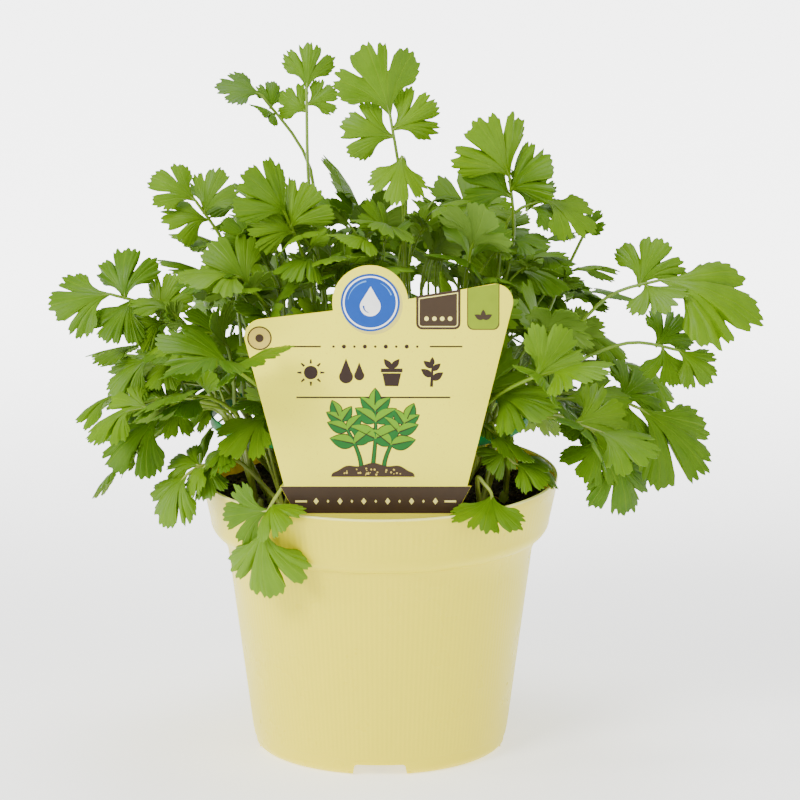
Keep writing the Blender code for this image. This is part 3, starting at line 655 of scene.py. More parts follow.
def cut_or_join(piece: Piece, tools: list[Piece], operation: str) -> None:
    """Cut tools from a piece or join them to it, and drop them.

    Args:
        piece: what is changed.
        tools: the cutters or the added solids.
        operation: DIFFERENCE or UNION.
    """
    group = bpy.data.collections.new("tools")
    for tool in tools:
        group.objects.link(tool)
    modifier = piece.modifiers.new("tools", "BOOLEAN")
    modifier.operation = operation
    modifier.operand_type = "COLLECTION"
    modifier.collection = group
    modifier.solver = "MANIFOLD"
    apply_modifiers(piece)
    for tool in tools:
        bpy.data.objects.remove(tool, do_unlink=True)
    bpy.data.collections.remove(group)


@dataclass
class Pot:
    """The moulded pot: deep collar, rounded shoulder, tapering ribbed body and four notches in the foot."""

    height: float = 102.5 * MM
    rim_radius: float = 65.5 * MM
    collar_low: float = 86.5 * MM
    collar_low_radius: float = 62.5 * MM
    shoulder_radius: float = 6.6 * MM
    shoulder_turn: float = math.radians(70.0)
    body_top: float = 78.0 * MM
    body_top_radius: float = 56.3 * MM
    base_round: float = 3.6 * MM
    base_radius: float = 46.6 * MM
    wall: float = 1.3 * MM
    floor: float = 1.6 * MM
    lip: float = 0.5 * MM
    plain_sides: int = 32
    plain_steps: int = 3
    sides: int = 720
    steps: int = 9
    ribs: int = 180
    rib_depth: float = 0.045 * MM
    rib_fade: float = 2.5 * MM
    mould_line: float = 6.3 * MM
    mould_step: float = 0.12 * MM
    notches: int = 4
    notch_width: float = 20.5 * MM
    notch_height: float = 4.5 * MM
    notch_depth: float = 15.0 * MM
    notch_taper: float = 0.9
    notch_round: float = 1.1 * MM
    drain_radius: float = 3.0 * MM
    drain_place: float = 0.55
    housing_wall: float = 1.3 * MM
    housing_inset: float = 1.6 * 1.3 * MM
    pole: float = 1.5 * MM

    def outer_wall(self, steps: int) -> Outline:
        """Give the outer radii and heights from the foot to the rim, with this many steps in each arc."""
        shoulder_centre = (self.collar_low_radius - self.shoulder_radius, self.collar_low)
        foot_centre = (self.base_radius - self.base_round, self.base_round)
        outline = arc(foot_centre, self.base_round, -math.pi / 2.0, 0.0, steps)
        outline.append((self.body_top_radius, self.body_top))
        outline += arc(shoulder_centre, self.shoulder_radius, -self.shoulder_turn, 0.0, steps)
        outline.append((self.rim_radius, self.height - self.lip))
        return outline + [(self.rim_radius - self.lip, self.height)]

    def inner_wall(self, steps: int) -> Outline:
        """Give the inner radii and heights from the rim to the floor, with fewer steps in its arcs."""
        shoulder_centre = (self.collar_low_radius - self.shoulder_radius, self.collar_low)
        foot_centre = (self.base_radius - self.base_round, self.base_round + self.floor / 2.0)
        outline = [(self.rim_radius - self.wall - self.lip, self.height),
                   (self.rim_radius - self.wall - 2.0 * self.lip, self.height - self.lip)]
        outline += arc(shoulder_centre, self.shoulder_radius - self.wall, 0.0, -self.shoulder_turn, steps - 1)
        outline.append((self.body_top_radius - self.wall, self.body_top + self.wall / 2.0))
        return outline + arc(foot_centre, self.base_round - self.wall, 0.0, -math.pi / 2.0, steps - 2)

    def inner_radius(self, height: float) -> float:
        """Give the radius of the inside at a height."""
        outline = self.inner_wall(self.plain_steps)
        for (upper_radius, upper), (lower_radius, lower) in zip(outline, outline[1:]):
            if lower <= height <= upper:
                share = (height - lower) / (upper - lower)
                return lower_radius + (upper_radius - lower_radius) * share
        return outline[-1][0]

    def keep_clear(self) -> Shape:
        """Give the plain shell that the leaves keep clear of."""
        outline = self.outer_wall(self.plain_steps) + self.inner_wall(self.plain_steps)
        return turned_shape(outline, self.plain_sides)

    def fine_profile(self) -> Outline:
        """Give the profile of the finished pot, with its mould line and its rolled lip."""
        outer = self.outer_wall(self.steps)
        taper = (self.body_top_radius - self.base_radius) / (self.body_top - self.base_round)

        def body(height: float, out: float = 0.0) -> Pair:
            """Give a point of the tapering body."""
            return self.base_radius + taper * (height - self.base_round) + out, height

        rows = [body(self.mould_line), body(self.mould_line + self.mould_step, self.mould_step)]
        rows += [body(height * MM, self.mould_step) for height in (8.0, 10.0, 24.0, 40.0, 56.0, 70.0, 75.5)]
        rise = self.height - 3.0 * self.lip - self.collar_low
        reach = self.rim_radius - self.collar_low_radius
        collar = [(self.collar_low_radius + reach * share, self.collar_low + rise * share)
                  for share in (0.0, 0.12, 0.35, 0.65, 0.9)]
        half = self.wall / 2.0
        lip = arc((self.rim_radius - half, self.height - half), half, 0.0, math.pi, 8)
        inner = self.inner_wall(self.steps)[2:]
        return [(self.pole, 0.0), *outer[:self.steps + 1], *rows, *outer[self.steps + 2:-3], *collar, *lip,
                *inner, (self.pole, inner[-1][1])]

    def add_ribs(self, pot: Piece) -> None:
        """Raise the turned pot's fine upright ribs on the collar and the body."""
        count = len(pot.data.vertices)
        places = np.empty(count * 3)
        pot.data.vertices.foreach_get("co", places)
        places = places.reshape(-1, 3)
        radius = np.hypot(places[:, 0], places[:, 1])
        height = places[:, 2]
        outline = self.fine_profile()
        outer = np.array(outline[:len(outline) // 2 + 6])
        outside = radius > np.interp(height, outer[:, 1], outer[:, 0]) - self.wall / 2.0
        strength = np.zeros(count)
        for low, high in ((self.mould_line + self.mould_step, self.body_top),
                          (self.collar_low, self.height - 2.5 * self.wall)):
            edge = np.minimum(height - low, high - height) / self.rib_fade
            strength = np.maximum(strength, np.clip(edge, 0.0, 1.0))
        wave = np.where(outside, np.cos(self.ribs * np.arctan2(places[:, 1], places[:, 0])) * strength, 0.0)
        places[:, :2] *= (1.0 + wave * self.rib_depth / np.maximum(radius, MM))[:, None]
        pot.data.vertices.foreach_set("co", places.ravel())
        pot.data.attributes.new("rib", "FLOAT", "POINT").data.foreach_set("value", wave)
        pot.data.update()

    def notch_block(self, grow: float, reach_out: float, low: float, turn: float, round_off: float) -> Piece:
        """Make the block of a notch or of its housing.

        Args:
            grow: how much larger than the notch it is.
            reach_out: how far it goes past the foot's edge.
            low: its lower face.
            turn: the way it faces.
            round_off: the radius of its two long upper edges.

        Returns:
            The block.
        """
        deselect()
        inner = self.base_radius - self.notch_depth - grow
        outer = self.base_radius + reach_out
        top = self.notch_height + grow
        bpy.ops.mesh.primitive_cube_add(size=1.0)
        made = active_piece("notch block")
        made.scale = (outer - inner, self.notch_width + 2.0 * grow, top - low)
        made.location = ((outer + inner) / 2.0, 0.0, (top + low) / 2.0)
        settle(made)
        bpy.ops.object.mode_set(mode="EDIT")
        bpy.ops.mesh.select_mode(type="EDGE")
        bpy.ops.mesh.select_all(action="DESELECT")
        work = bmesh.from_edit_mesh(made.data)
        for edge in work.edges:
            along = edge.verts[0].co - edge.verts[1].co
            if abs(along.x) > abs(along.y) and min(vertex.co.z for vertex in edge.verts) > top - MM:
                edge.select_set(True)
        bmesh.update_edit_mesh(made.data)
        bpy.ops.transform.resize(value=(1.0, self.notch_taper, 1.0))
        bpy.ops.mesh.bevel(offset=round_off, segments=5)
        bpy.ops.object.mode_set(mode="OBJECT")
        made.rotation_euler = (0.0, 0.0, turn)
        settle(made)
        return made

    def build(self) -> None:
        """Model the pot and dress it."""
        pot = turn_rings("pot_body", self.fine_profile(), self.sides)
        self.add_ribs(pot)
        housings = []
        cuts = []
        middle = self.base_radius - self.notch_depth * self.drain_place
        for step in range(self.notches):
            turn = math.tau * step / self.notches - math.pi / 2.0
            housings.append(
                self.notch_block(self.housing_wall, -self.housing_inset, self.floor / 2.0, turn, MM))
            cuts.append(self.notch_block(0.0, 2.0 * self.wall, -2.0 * MM, turn, self.notch_round))
            deselect()
            bpy.ops.mesh.primitive_cylinder_add(
                vertices=36, radius=self.drain_radius, depth=6.0 * MM,
                location=(middle * math.cos(turn), middle * math.sin(turn), self.notch_height + MM))
            cuts.append(active_piece("drain"))
            settle(cuts[-1])
        cut_or_join(pot, housings, "UNION")
        cut_or_join(pot, cuts, "DIFFERENCE")
        dress(pot, "pot", PotPlastic().make(), 32.0)


@dataclass
class Soil:
    """The crumbly soil that fills the pot to just under its rim."""

    top: float = 94.0 * MM
    bump: float = 1.3 * MM
    waves: Triple = (310.0, 270.0, 520.0)
    gap: float = 0.35 * MM
    cells: int = 150
    foot: float = 6.4 * MM
    crumbs: int = 900
    crumb_sizes: Pair = (0.5 * MM, 1.7 * MM)
    seed: int = 7

    def level(self, x: float, y: float) -> float:
        """Give the height of the soil's broad bumps at a place."""
        broad_x, broad_y, fine = self.waves
        waves = math.sin(x * broad_x + 0.6) * math.cos(y * broad_y) + 0.5 * math.sin((x - y) * fine)
        return self.top + self.bump * waves * 0.6

    def build_lump(self, pot: Pot, finish: Finish) -> None:
        """Model the soil's surface, and its sides down to the foot.

        Args:
            pot: the pot that holds it.
            finish: its material.
        """
        reach = pot.inner_radius(self.top - self.bump) - self.gap
        deselect()
        bpy.ops.mesh.primitive_grid_add(x_subdivisions=self.cells, y_subdivisions=self.cells, size=2.0)
        lump = active_piece("soil_lump")
        draw = Random(self.seed)
        for vertex in lump.data.vertices:
            across, back, _ = vertex.co
            x = reach * across * math.sqrt(1.0 - back * back / 2.0)
            y = reach * back * math.sqrt(1.0 - across * across / 2.0)
            inside = 1.0 - max(abs(across), abs(back))
            rough = draw.uniform(-0.45, 0.45) * MM * min(1.0, inside * 12.0)
            vertex.co = (x, y, self.level(x, y) + rough)
        bpy.ops.object.mode_set(mode="EDIT")
        bpy.ops.mesh.select_mode(type="EDGE")
        bpy.ops.mesh.select_all(action="DESELECT")
        bpy.ops.mesh.select_non_manifold()
        radius = reach
        rings = ((reach, pot.collar_low), (pot.body_top_radius - 2.4 * pot.wall, pot.body_top),
                 (pot.base_radius - 2.4 * pot.wall, self.foot))
        for next_radius, next_height in rings:
            bpy.ops.mesh.extrude_region_move(TRANSFORM_OT_translate={"value": (0.0, 0.0, 0.0)})
            work = bmesh.from_edit_mesh(lump.data)
            grow = next_radius / radius
            for vertex in work.verts:
                if vertex.select:
                    vertex.co = (vertex.co.x * grow, vertex.co.y * grow, next_height)
            bmesh.update_edit_mesh(lump.data)
            radius = next_radius
        close_ends()
        dress(lump, "soil", finish, 60.0)

    def build_crumbs(self, pot: Pot, finish: Finish) -> None:
        """Scatter crumbs, fibres and a few dry bits over the surface.

        Args:
            pot: the pot that holds them.
            finish: their material.
        """
        deselect()
        bpy.ops.mesh.primitive_ico_sphere_add(subdivisions=1, radius=1.0)
        master = active_piece("crumb")
        corners = np.array([vertex.co for vertex in master.data.vertices])
        sides = [tuple(face.vertices) for face in master.data.polygons]
        bpy.data.objects.remove(master, do_unlink=True)
        draw = Random(self.seed + 1)
        reach = pot.inner_radius(self.top) - 2.0 * MM
        points, faces, dry = [], [], []
        for index in range(self.crumbs):
            away = reach * math.sqrt(draw.random())
            turn = draw.uniform(0.0, math.tau)
            x, y = away * math.cos(turn), away * math.sin(turn)
            size = draw.uniform(*self.crumb_sizes) * (1.0 if index % 4 else 1.4)
            fibre = index % 9 == 0
            stretch = [size * share for share in ((2.6, 0.4, 0.35) if fibre else (1.0, 0.85, 0.7))]
            spin = Matrix.Rotation(draw.uniform(0.0, math.tau), 3, "Z")
            spin = spin @ Matrix.Rotation(draw.uniform(-0.5, 0.5), 3, "Y")
            jag = np.array([[draw.uniform(0.75, 1.2)] for _ in corners])
            placed = (corners * jag * np.array(stretch)) @ np.array(spin.transposed())
            placed = placed + np.array((x, y, self.level(x, y) + stretch[2] * 0.35))
            start = len(points)
            points += placed.tolist()
            faces += [tuple(start + corner for corner in side) for side in sides]
            dry += [1.0 if fibre and index % 2 else 0.12 * draw.random()] * len(corners)
        piece = mesh_piece("soil_crumbs", points, faces)
        piece.data.attributes.new("dry", "FLOAT", "POINT").data.foreach_set("value", dry)
        dress(piece, "soil", finish, 50.0)

    def build(self, pot: Pot) -> None:
        """Model the soil that a pot holds, and dress it."""
        finish = PottingSoil().make()
        self.build_lump(pot, finish)
        self.build_crumbs(pot, finish)


@dataclass
class Label:
    """The die-cut card label, with its printed shapes a hair proud of its face."""

    depth: float = -50.0 * MM
    thickness: float = 0.8 * MM
    shoulder_left: Pair = (-50.0 * MM, 171.7 * MM)
    shoulder_right: Pair = (49.9 * MM, 187.2 * MM)
    corner: float = 6.5 * MM
    foot_half: float = 33.0 * MM
    centre: float = -1.4 * MM
    bump_centre: Pair = (-3.3 * MM, 179.0 * MM)
    bump_radius: float = 13.6 * MM
    bump_drop: float = math.radians(4.0)
    sash_top: float = 111.0 * MM
    sash_low: float = 100.8 * MM
    sash_top_half: float = 34.5 * MM
    sash_low_half: float = 29.0 * MM
    strip_top_half: float = 28.0 * MM
    strip_low_half: float = 26.0 * MM
    strip_low: float = 96.5 * MM
    stake_half: float = 10.0 * MM
    stake_point: float = 67.0 * MM
    stake_taper: float = 12.0 * MM
    plain_steps: tuple[int, int] = (3, 10)
    fine_steps: tuple[int, int] = (12, 48)
    edge_round: float = 0.12 * MM
    ink_depth: float = 0.05 * MM
    ink_step: float = 0.04 * MM
    overlap_step: float = 0.0015 * MM
    tab_brown: Triple = (13.1 * MM, 29.0 * MM, 169.1 * MM)
    tab_lime: Triple = (31.7 * MM, 42.6 * MM, 169.3 * MM)
    badge_radius: float = 10.6 * MM
    symbol_growth: float = 1.25
    mark_centre: Pair = (-43.0 * MM, 165.9 * MM)

    def rounded_corner(self, before: Pair, corner: Pair, after: Pair, steps: int) -> Outline:
        """Round a corner between two straight edges.

        Args:
            before: a point on the edge that comes in.
            corner: the corner.
            after: a point on the edge that goes out.
            steps: steps in the arc.

        Returns:
            The arc's points.
        """
        corner = Vector(corner)
        back = (Vector(before) - corner).normalized()
        ahead = (Vector(after) - corner).normalized()
        half = back.angle(ahead) / 2.0
        middle = (back + ahead).normalized()
        centre = corner + middle * (self.corner / math.sin(half))
        start = corner + back * (self.corner / math.tan(half)) - centre
        end = corner + ahead * (self.corner / math.tan(half)) - centre
        swings = [start.lerp(end, step / steps).normalized() for step in range(steps + 1)]
        return [tuple(centre + swing * self.corner) for swing in swings]

    def slope(self) -> float:
        """Give the tilt of the card's upper edge."""
        top, left = self.shoulder_right, self.shoulder_left
        return math.atan2(top[1] - left[1], top[0] - left[0])

    def top_edge(self, x: float) -> float:
        """Give the height of the card's upper edge at x."""
        return self.shoulder_left[1] + (x - self.shoulder_left[0]) * math.tan(self.slope())

    def outline(self, corner_steps: int, bump_steps: int) -> Outline:
        """Give the card's outline, from the foot's point round by its right side.

        Args:
            corner_steps: steps in a rounded corner.
            bump_steps: steps in the bump's arc.

        Returns:
            Its points in the card's plane.
        """
        top, left = self.shoulder_right, self.shoulder_left
        foot = [(self.stake_half, self.stake_point + self.stake_taper), (self.stake_half, self.strip_low),
                (self.strip_low_half, self.strip_low), (self.strip_top_half, self.sash_low),
                (self.sash_low_half, self.sash_low), (self.sash_top_half, self.sash_top),
                (self.foot_half, self.sash_top)]
        right_side = [(self.centre + half, height) for half, height in foot]
        left_side = [(self.centre - half, height) for half, height in reversed(foot)]
        slope = self.slope()
        return ([(self.centre, self.stake_point)] + right_side
                + self.rounded_corner(right_side[-1], top, left, corner_steps)
                + arc(self.bump_centre, self.bump_radius, slope - self.bump_drop,
                      math.pi + slope + self.bump_drop, bump_steps)
                + self.rounded_corner(top, left, left_side[0], corner_steps) + left_side)

    def keep_clear(self) -> Shape:
        """Give the plain card that the leaves keep clear of."""
        outline = self.outline(*self.plain_steps)
        count = len(outline)
        front = self.depth - self.thickness / 2.0
        back = self.depth + self.thickness / 2.0
        points = [Vector((x, depth, z)) for depth in (front, back) for x, z in outline]
        sides = [tuple(range(count)), tuple(reversed(range(count, 2 * count)))]
        return points, sides + walls(count, 0, count)

    def cut_sheet(self, name: str, outlines: list[Outline], front: float, depth: float) -> Piece:
        """Cut flat shapes out of a sheet that faces -Y.

        Args:
            name: the piece's name.
            outlines: the shapes, each run anticlockwise as seen from the front.
            front: where the sheet's face stands.
            depth: how thick the sheet is.

        Returns:
            The piece, closed.
        """
        points = []
        faces = []
        for index, outline in enumerate(outlines):
            faces.append(tuple(range(len(points), len(points) + len(outline))))
            points += [(x, front - self.overlap_step * index, z) for x, z in outline]
        piece = mesh_piece(name, points, faces)
        thicken = piece.modifiers.new("thickness", "SOLIDIFY")
        thicken.thickness = depth
        thicken.offset = -1.0
        apply_modifiers(piece)
        return piece

    def build_card(self) -> None:
        """Model the card itself, with softly pressed edges."""
        outline = self.outline(*self.fine_steps)
        card = self.cut_sheet("label_card", [outline], self.depth - self.thickness / 2.0, self.thickness)
        soften = card.modifiers.new("edge", "BEVEL")
        soften.width = self.edge_round
        soften.segments = 2
        soften.limit_method = "ANGLE"
        soften.angle_limit = math.radians(60.0)
        apply_modifiers(card)
        dress(card, "label", LabelCard().make(), 35.0)

    def disc(self, centre: Pair, radius: float, steps: int = 48) -> Outline:
        """Outline a disc with this many corners."""
        return arc(centre, radius, 0.0, math.tau * (steps - 1) / steps, steps - 1)

    def ring(self, centre: Pair, outer: float, inner: float, steps: int = 48) -> list[Outline]:
        """Outline a ring in two halves, each with this many steps."""
        return [arc(centre, outer, start, end, steps) + arc(centre, inner, end, start, steps)
                for start, end in ((0.0, math.pi), (math.pi, math.tau))]

    def bar(self, left: float, right: float, low: float, high: float) -> Outline:
        """Outline an upright rectangle by its edges."""
        return [(left, low), (right, low), (right, high), (left, high)]

    def oval_leaf(self, root: Pair, turn: float, length: float, half: float, grow: float = 0.0) -> Outline:
        """Outline a pointed oval leaf.

        Args:
            root: its base.
            turn: the way it grows, in degrees from straight up, positive to the right.
            length: its length.
            half: half its width.
            grow: how far it is let out all round.

        Returns:
            The outline.
        """
        steps = 12
        along = Vector((math.sin(math.radians(turn)), math.cos(math.radians(turn))))
        across = Vector((along.y, -along.x))
        start = Vector(root) - along * grow
        reach = length + 2.0 * grow
        points = []
        for side, order in ((1.0, range(steps)), (-1.0, range(steps, 0, -1))):
            for share in (step / steps for step in order):
                wide = (half + grow) * math.sin(math.pi * share ** 0.8) ** 0.9
                points.append(start + along * (reach * share) + across * (wide * side))
        return [(point.x, point.y) for point in points]

    def half_leaf(self, root: Pair, turn: float, length: float, half: float) -> Outline:
        """Outline the sunny half of such a leaf, which is its left half where it grows to the left."""
        whole = self.oval_leaf(root, turn, length, half)
        middle = len(whole) // 2
        return whole[:middle + 1] if turn < 0.0 else [whole[0]] + whole[middle:]

    def stroke(self, path: Outline, start_half: float, end_half: float) -> Outline:
        """Outline a tapering pen stroke.

        Args:
            path: its middle line.
            start_half: half its width where it starts.
            end_half: half its width where it ends.

        Returns:
            The outline.
        """
        left = []
        right = []
        last = len(path) - 1
        for index, (x, z) in enumerate(path):
            along = (Vector(path[min(index + 1, last)]) - Vector(path[max(index - 1, 0)])).normalized()
            half = start_half + (end_half - start_half) * index / last
            left.append((x - along.y * half, z + along.x * half))
            right.append((x + along.y * half, z - along.x * half))
        return right + left[::-1]

    def drop(self, middle: Pair, radius: float, steps: int, tip: Pair) -> Outline:
        """Outline a water drop by its round part's middle, radius and steps, and its tip."""
        return arc(middle, radius, math.radians(-220.0), math.radians(40.0), steps) + [tip]

    def print_on(self, name: str, ink: Inks, level: int, outlines: list[Outline]) -> None:
        """Print shapes on the card in one ink.

        Args:
            name: what the piece's name says after print_.
            ink: its ink.
            level: its place in the order of printing, the first one lowest.
            outlines: the shapes.
        """
        proud = self.ink_step * level
        face = self.depth - self.thickness / 2.0
        piece = self.cut_sheet("print_" + name, outlines, face - proud, proud + self.ink_depth)
        dress(piece, "label", ink.value.make())

    def tab(self, left: float, right: float, low: float, inset: float) -> Outline:
        """Outline a tab that hangs from the slanted upper edge, drawn in all round by the inset."""
        left, right, low = left + inset, right - inset, low + inset
        round_off = max(2.2 * MM - inset, 0.6 * MM)
        points = arc((left + round_off, low + round_off), round_off, math.pi, 1.5 * math.pi, 6)
        points += arc((right - round_off, low + round_off), round_off, -0.5 * math.pi, 0.0, 6)
        drop = self.edge_round + inset
        return points + [(right, self.top_edge(right) - drop), (left, self.top_edge(left) - drop)]

    def build_tabs(self) -> None:
        """Print the two plain tabs on the upper edge, one with dots and one with a sprig."""
        left, right, low = self.tab_brown
        self.print_on("tab_dots", Inks.CREAM, 3, [
            self.disc(((left + right) / 2.0 + shift * MM, low + 4.0 * MM), 0.8 * MM, 20)
            for shift in (-4.2, -1.4, 1.4, 4.2)])
        self.print_on("tab_brown", Inks.BROWN, 1, [self.tab(left, right, low, 0.0)])
        line = 0.35 * MM
        inner = 0.9 * MM
        frame = self.tab(left, right, low, inner)
        hollow = self.tab(left, right, low, inner + line)
        both = frame + hollow
        self.print_on("tab_line", Inks.CREAM, 2, [
            [both[corner] for corner in side] for side in walls(len(frame), 0, len(frame))])
        left, right, low = self.tab_lime
        self.print_on("tab_edge", Inks.BROWN, 1, [self.tab(left - line, right + line, low - line, 0.0)])
        self.print_on("tab_lime", Inks.LIME, 2, [self.tab(left, right, low, 0.0)])
        middle = ((left + right) / 2.0, low + 3.6 * MM)
        self.print_on("tab_sprig", Inks.BROWN, 3, [
            self.oval_leaf(middle, turn, 3.6 * MM, 0.95 * MM) for turn in (-62.0, 0.0, 62.0)])

    def build_badge(self) -> None:
        """Print the round badge on the bump: a white drop on blue."""
        x, z = self.bump_centre
        shade = self.disc((x + 0.7 * MM, z - 0.9 * MM), self.badge_radius + 0.3 * MM, 64)
        self.print_on("badge_shade", Inks.SHADE, 1, [shade])
        self.print_on("badge_blue", Inks.BLUE, 2, [self.disc((x, z), self.badge_radius, 72)])
        self.print_on("badge_ring", Inks.WHITE, 3, self.ring((x, z), 9.8 * MM, 9.2 * MM))
        self.print_on("badge_shine", Inks.SKY, 3, [
            self.stroke(arc((x, z), 8.0 * MM, start, end, 16), half * MM, 0.05 * MM)
            for start, end, half in ((1.75, 3.0, 0.28), (0.35, 1.1, 0.22))])
        middle = (x, z - 1.3 * MM)
        drop = self.drop(middle, 3.7 * MM, 40, (x + 0.15 * MM, z + 6.0 * MM))
        self.print_on("badge_drop", Inks.WHITE, 4, [drop])
        gleam = arc(middle, 2.4 * MM, math.radians(175.0), math.radians(255.0), 14)
        self.print_on("badge_gleam", Inks.BLUE, 5, [self.stroke(gleam, 0.3 * MM, 0.12 * MM)])

    def care_symbols(self) -> list[Outline]:
        """Draw the row of plain care symbols: a sun, two drops, a potted sprout and a twig."""
        level = 153.2 * MM
        sun = -20.0 * MM
        shapes = [self.disc((sun, level), 2.0 * MM)]
        for turn in (math.tau * step / 8 for step in range(8)):
            ray = [(sun + reach * MM * math.cos(turn), level + reach * MM * math.sin(turn))
                   for reach in (2.7, 3.3, 3.9)]
            shapes.append(self.stroke(ray, 0.34 * MM, 0.18 * MM))
        for x, size in ((-9.9, 1.0), (-6.1, 0.72)):
            shapes.append(self.drop((x * MM, level - 1.2 * MM * size), 2.0 * MM * size, 28,
                                    (x * MM, level + 4.2 * MM * size)))
        x = 3.2 * MM
        shapes.append([(x - 1.9 * MM, level - 4.0 * MM), (x + 1.9 * MM, level - 4.0 * MM),
                       (x + 2.7 * MM, level - 0.2 * MM), (x - 2.7 * MM, level - 0.2 * MM)])
        shapes.append(self.bar(x - 3.1 * MM, x + 3.1 * MM, level + 0.1 * MM, level + 1.2 * MM))
        shapes += [self.oval_leaf((x, level + 1.2 * MM), turn, 3.6 * MM, 0.9 * MM) for turn in (-38.0, 38.0)]
        x = 14.8 * MM
        stem = [(x - 0.2 * MM, level - 4.2 * MM), (x, level - 1.0 * MM), (x + 0.1 * MM, level + 2.2 * MM)]
        shapes.append(self.stroke(stem, 0.45 * MM, 0.25 * MM))
        for rise, turn, size in ((-2.2, 55.0, 3.9), (-1.2, -55.0, 3.9), (0.6, 50.0, 3.2), (1.4, -50.0, 3.2),
                                 (2.0, 2.0, 2.6)):
            shapes.append(self.oval_leaf((x, level + rise * MM), turn, size * MM, size * 0.27 * MM))
        grow = self.symbol_growth
        return [[(self.centre + (across - self.centre) * grow, level + (up - level) * grow)
                 for across, up in shape] for shape in shapes]

    def build_rules(self) -> None:
        """Print the rules, the dots between them and the care symbols."""
        shapes = []
        for left, right, level, half in ((-32.9, -21.0, 162.8, 0.28), (18.0, 29.7, 162.8, 0.28),
                                         (-29.9, 25.4, 144.0, 0.30)):
            shapes.append(self.bar(left * MM, right * MM, (level - half) * MM, (level + half) * MM))
        for step in range(9):
            place = ((-16.5 + 3.75 * step) * MM, 162.8 * MM)
            shapes.append(self.disc(place, (0.75 if step % 2 else 0.45) * MM, 20))
        self.print_on("rules", Inks.DARK, 1, shapes + self.care_symbols())
        mark = self.ring(self.mark_centre, 4.4 * MM, 3.9 * MM, 24)
        self.print_on("mark_ground", Inks.TAN, 1, [self.disc(self.mark_centre, 3.95 * MM)])
        self.print_on("mark", Inks.BROWN, 2, mark + [self.disc(self.mark_centre, 1.5 * MM, 24)])

    def build_picture(self) -> None:
        """Print the plain sprigs of paired oval leaves over their mound."""
        x = -2.4 * MM
        stems = []
        leaves = []
        for foot, top, lean in ((0.0, 143.0, 0.6), (-4.2, 138.6, -11.2), (4.0, 137.4, 11.4)):
            start = Vector((x + foot * MM, 118.5 * MM))
            end = Vector((x + (foot * 0.5 + lean) * MM, top * MM))
            path = []
            for share in (step / 12 for step in range(13)):
                sway = math.sin(math.pi * share) * (1.0 - 0.09 * abs(lean)) * 0.8 * MM
                path.append((start.x + (end.x - start.x) * share ** 1.5 + sway,
                             start.y + (end.y - start.y) * share))
            stems.append((path, 0.55 * MM, 0.22 * MM))
            for order, step in enumerate((5, 8, 10)):
                size = (10.4 - 1.5 * order) * (1.0 if lean == 0.6 else 0.86)
                for side in (-1, 1):
                    turn = side * (64.0 - 9.0 * order) + lean * 1.2
                    leaves.append((path[step], turn, size * MM, size * 0.29 * MM))
            leaves.append((path[-2], lean * 2.0, 6.4 * MM, 2.0 * MM))
        edge = 0.3 * MM
        ribs = []
        for root, turn, length, _ in leaves:
            way = Vector((math.sin(math.radians(turn)), math.cos(math.radians(turn))))
            line = [tuple(Vector(root) + way * (length * share)) for share in (0.05, 0.45, 0.85)]
            ribs.append(self.stroke(line, 0.2 * MM, 0.08 * MM))
        mound = [(x + 15.0 * MM * math.cos(turn), 114.6 * MM + 4.6 * MM * math.sin(turn) * (
            1.0 + 0.12 * math.sin(turn * 9.0))) for turn in (math.pi * step / 36 for step in range(37))]
        specks = []
        draw = Random(3)
        for _ in range(26):
            turn = draw.uniform(0.3, 2.85)
            reach = draw.uniform(0.15, 0.8)
            place = (x + 15.0 * MM * reach * math.cos(turn), 114.8 * MM + 4.0 * MM * reach * math.sin(turn))
            specks.append(self.disc(place, draw.uniform(0.18, 0.4) * MM, 10))
        edges = [self.stroke(path, low + edge, high + edge) for path, low, high in stems]
        edges += [self.oval_leaf(*leaf, edge) for leaf in leaves]
        for name, ink, level, shapes in (
                ("edge", Inks.DARK, 1, edges),
                ("stem", Inks.LEAF, 2, [self.stroke(*stem) for stem in stems]),
                ("leaf", Inks.LEAF, 3, [self.oval_leaf(*leaf) for leaf in leaves]),
                ("fresh", Inks.FRESH, 4, [self.half_leaf(*leaf) for leaf in leaves]),
                ("rib", Inks.DARK, 6, ribs),
                ("mound", Inks.BROWN, 7, [mound]),
                ("speck", Inks.TAN, 8, specks)):
            self.print_on(f"picture_{name}_{level}", ink, level, shapes)

    def build_sash(self) -> None:
        """Print the dark sash with its dashes and small diamonds."""
        low, top = self.sash_low + 0.1 * MM, self.sash_top - 0.1 * MM
        low_half, top_half = self.sash_low_half - self.edge_round, self.sash_top_half - self.edge_round
        self.print_on("sash", Inks.BROWN, 1, [[
            (self.centre - low_half, low), (self.centre + low_half, low),
            (self.centre + top_half, top), (self.centre - top_half, top)]])
        marks = [self.bar(left * MM, right * MM, 105.0 * MM, 105.7 * MM)
                 for left, right in ((-30.4, -26.2), (23.4, 27.6))]
        middle = 105.4 * MM
        for step in range(11):
            x = self.centre + (step - 5) * 4.3 * MM
            size = (1.25 if step % 2 == 0 else 0.6) * MM
            marks.append([(x, middle - size), (x + size * 0.75, middle), (x, middle + size),
                          (x - size * 0.75, middle)])
        self.print_on("sash_marks", Inks.CREAM, 2, marks)

    def build(self) -> None:
        """Model the card and print it."""
        self.build_card()
        self.build_tabs()
        self.build_badge()
        self.build_rules()
        self.build_picture()
        self.build_sash()


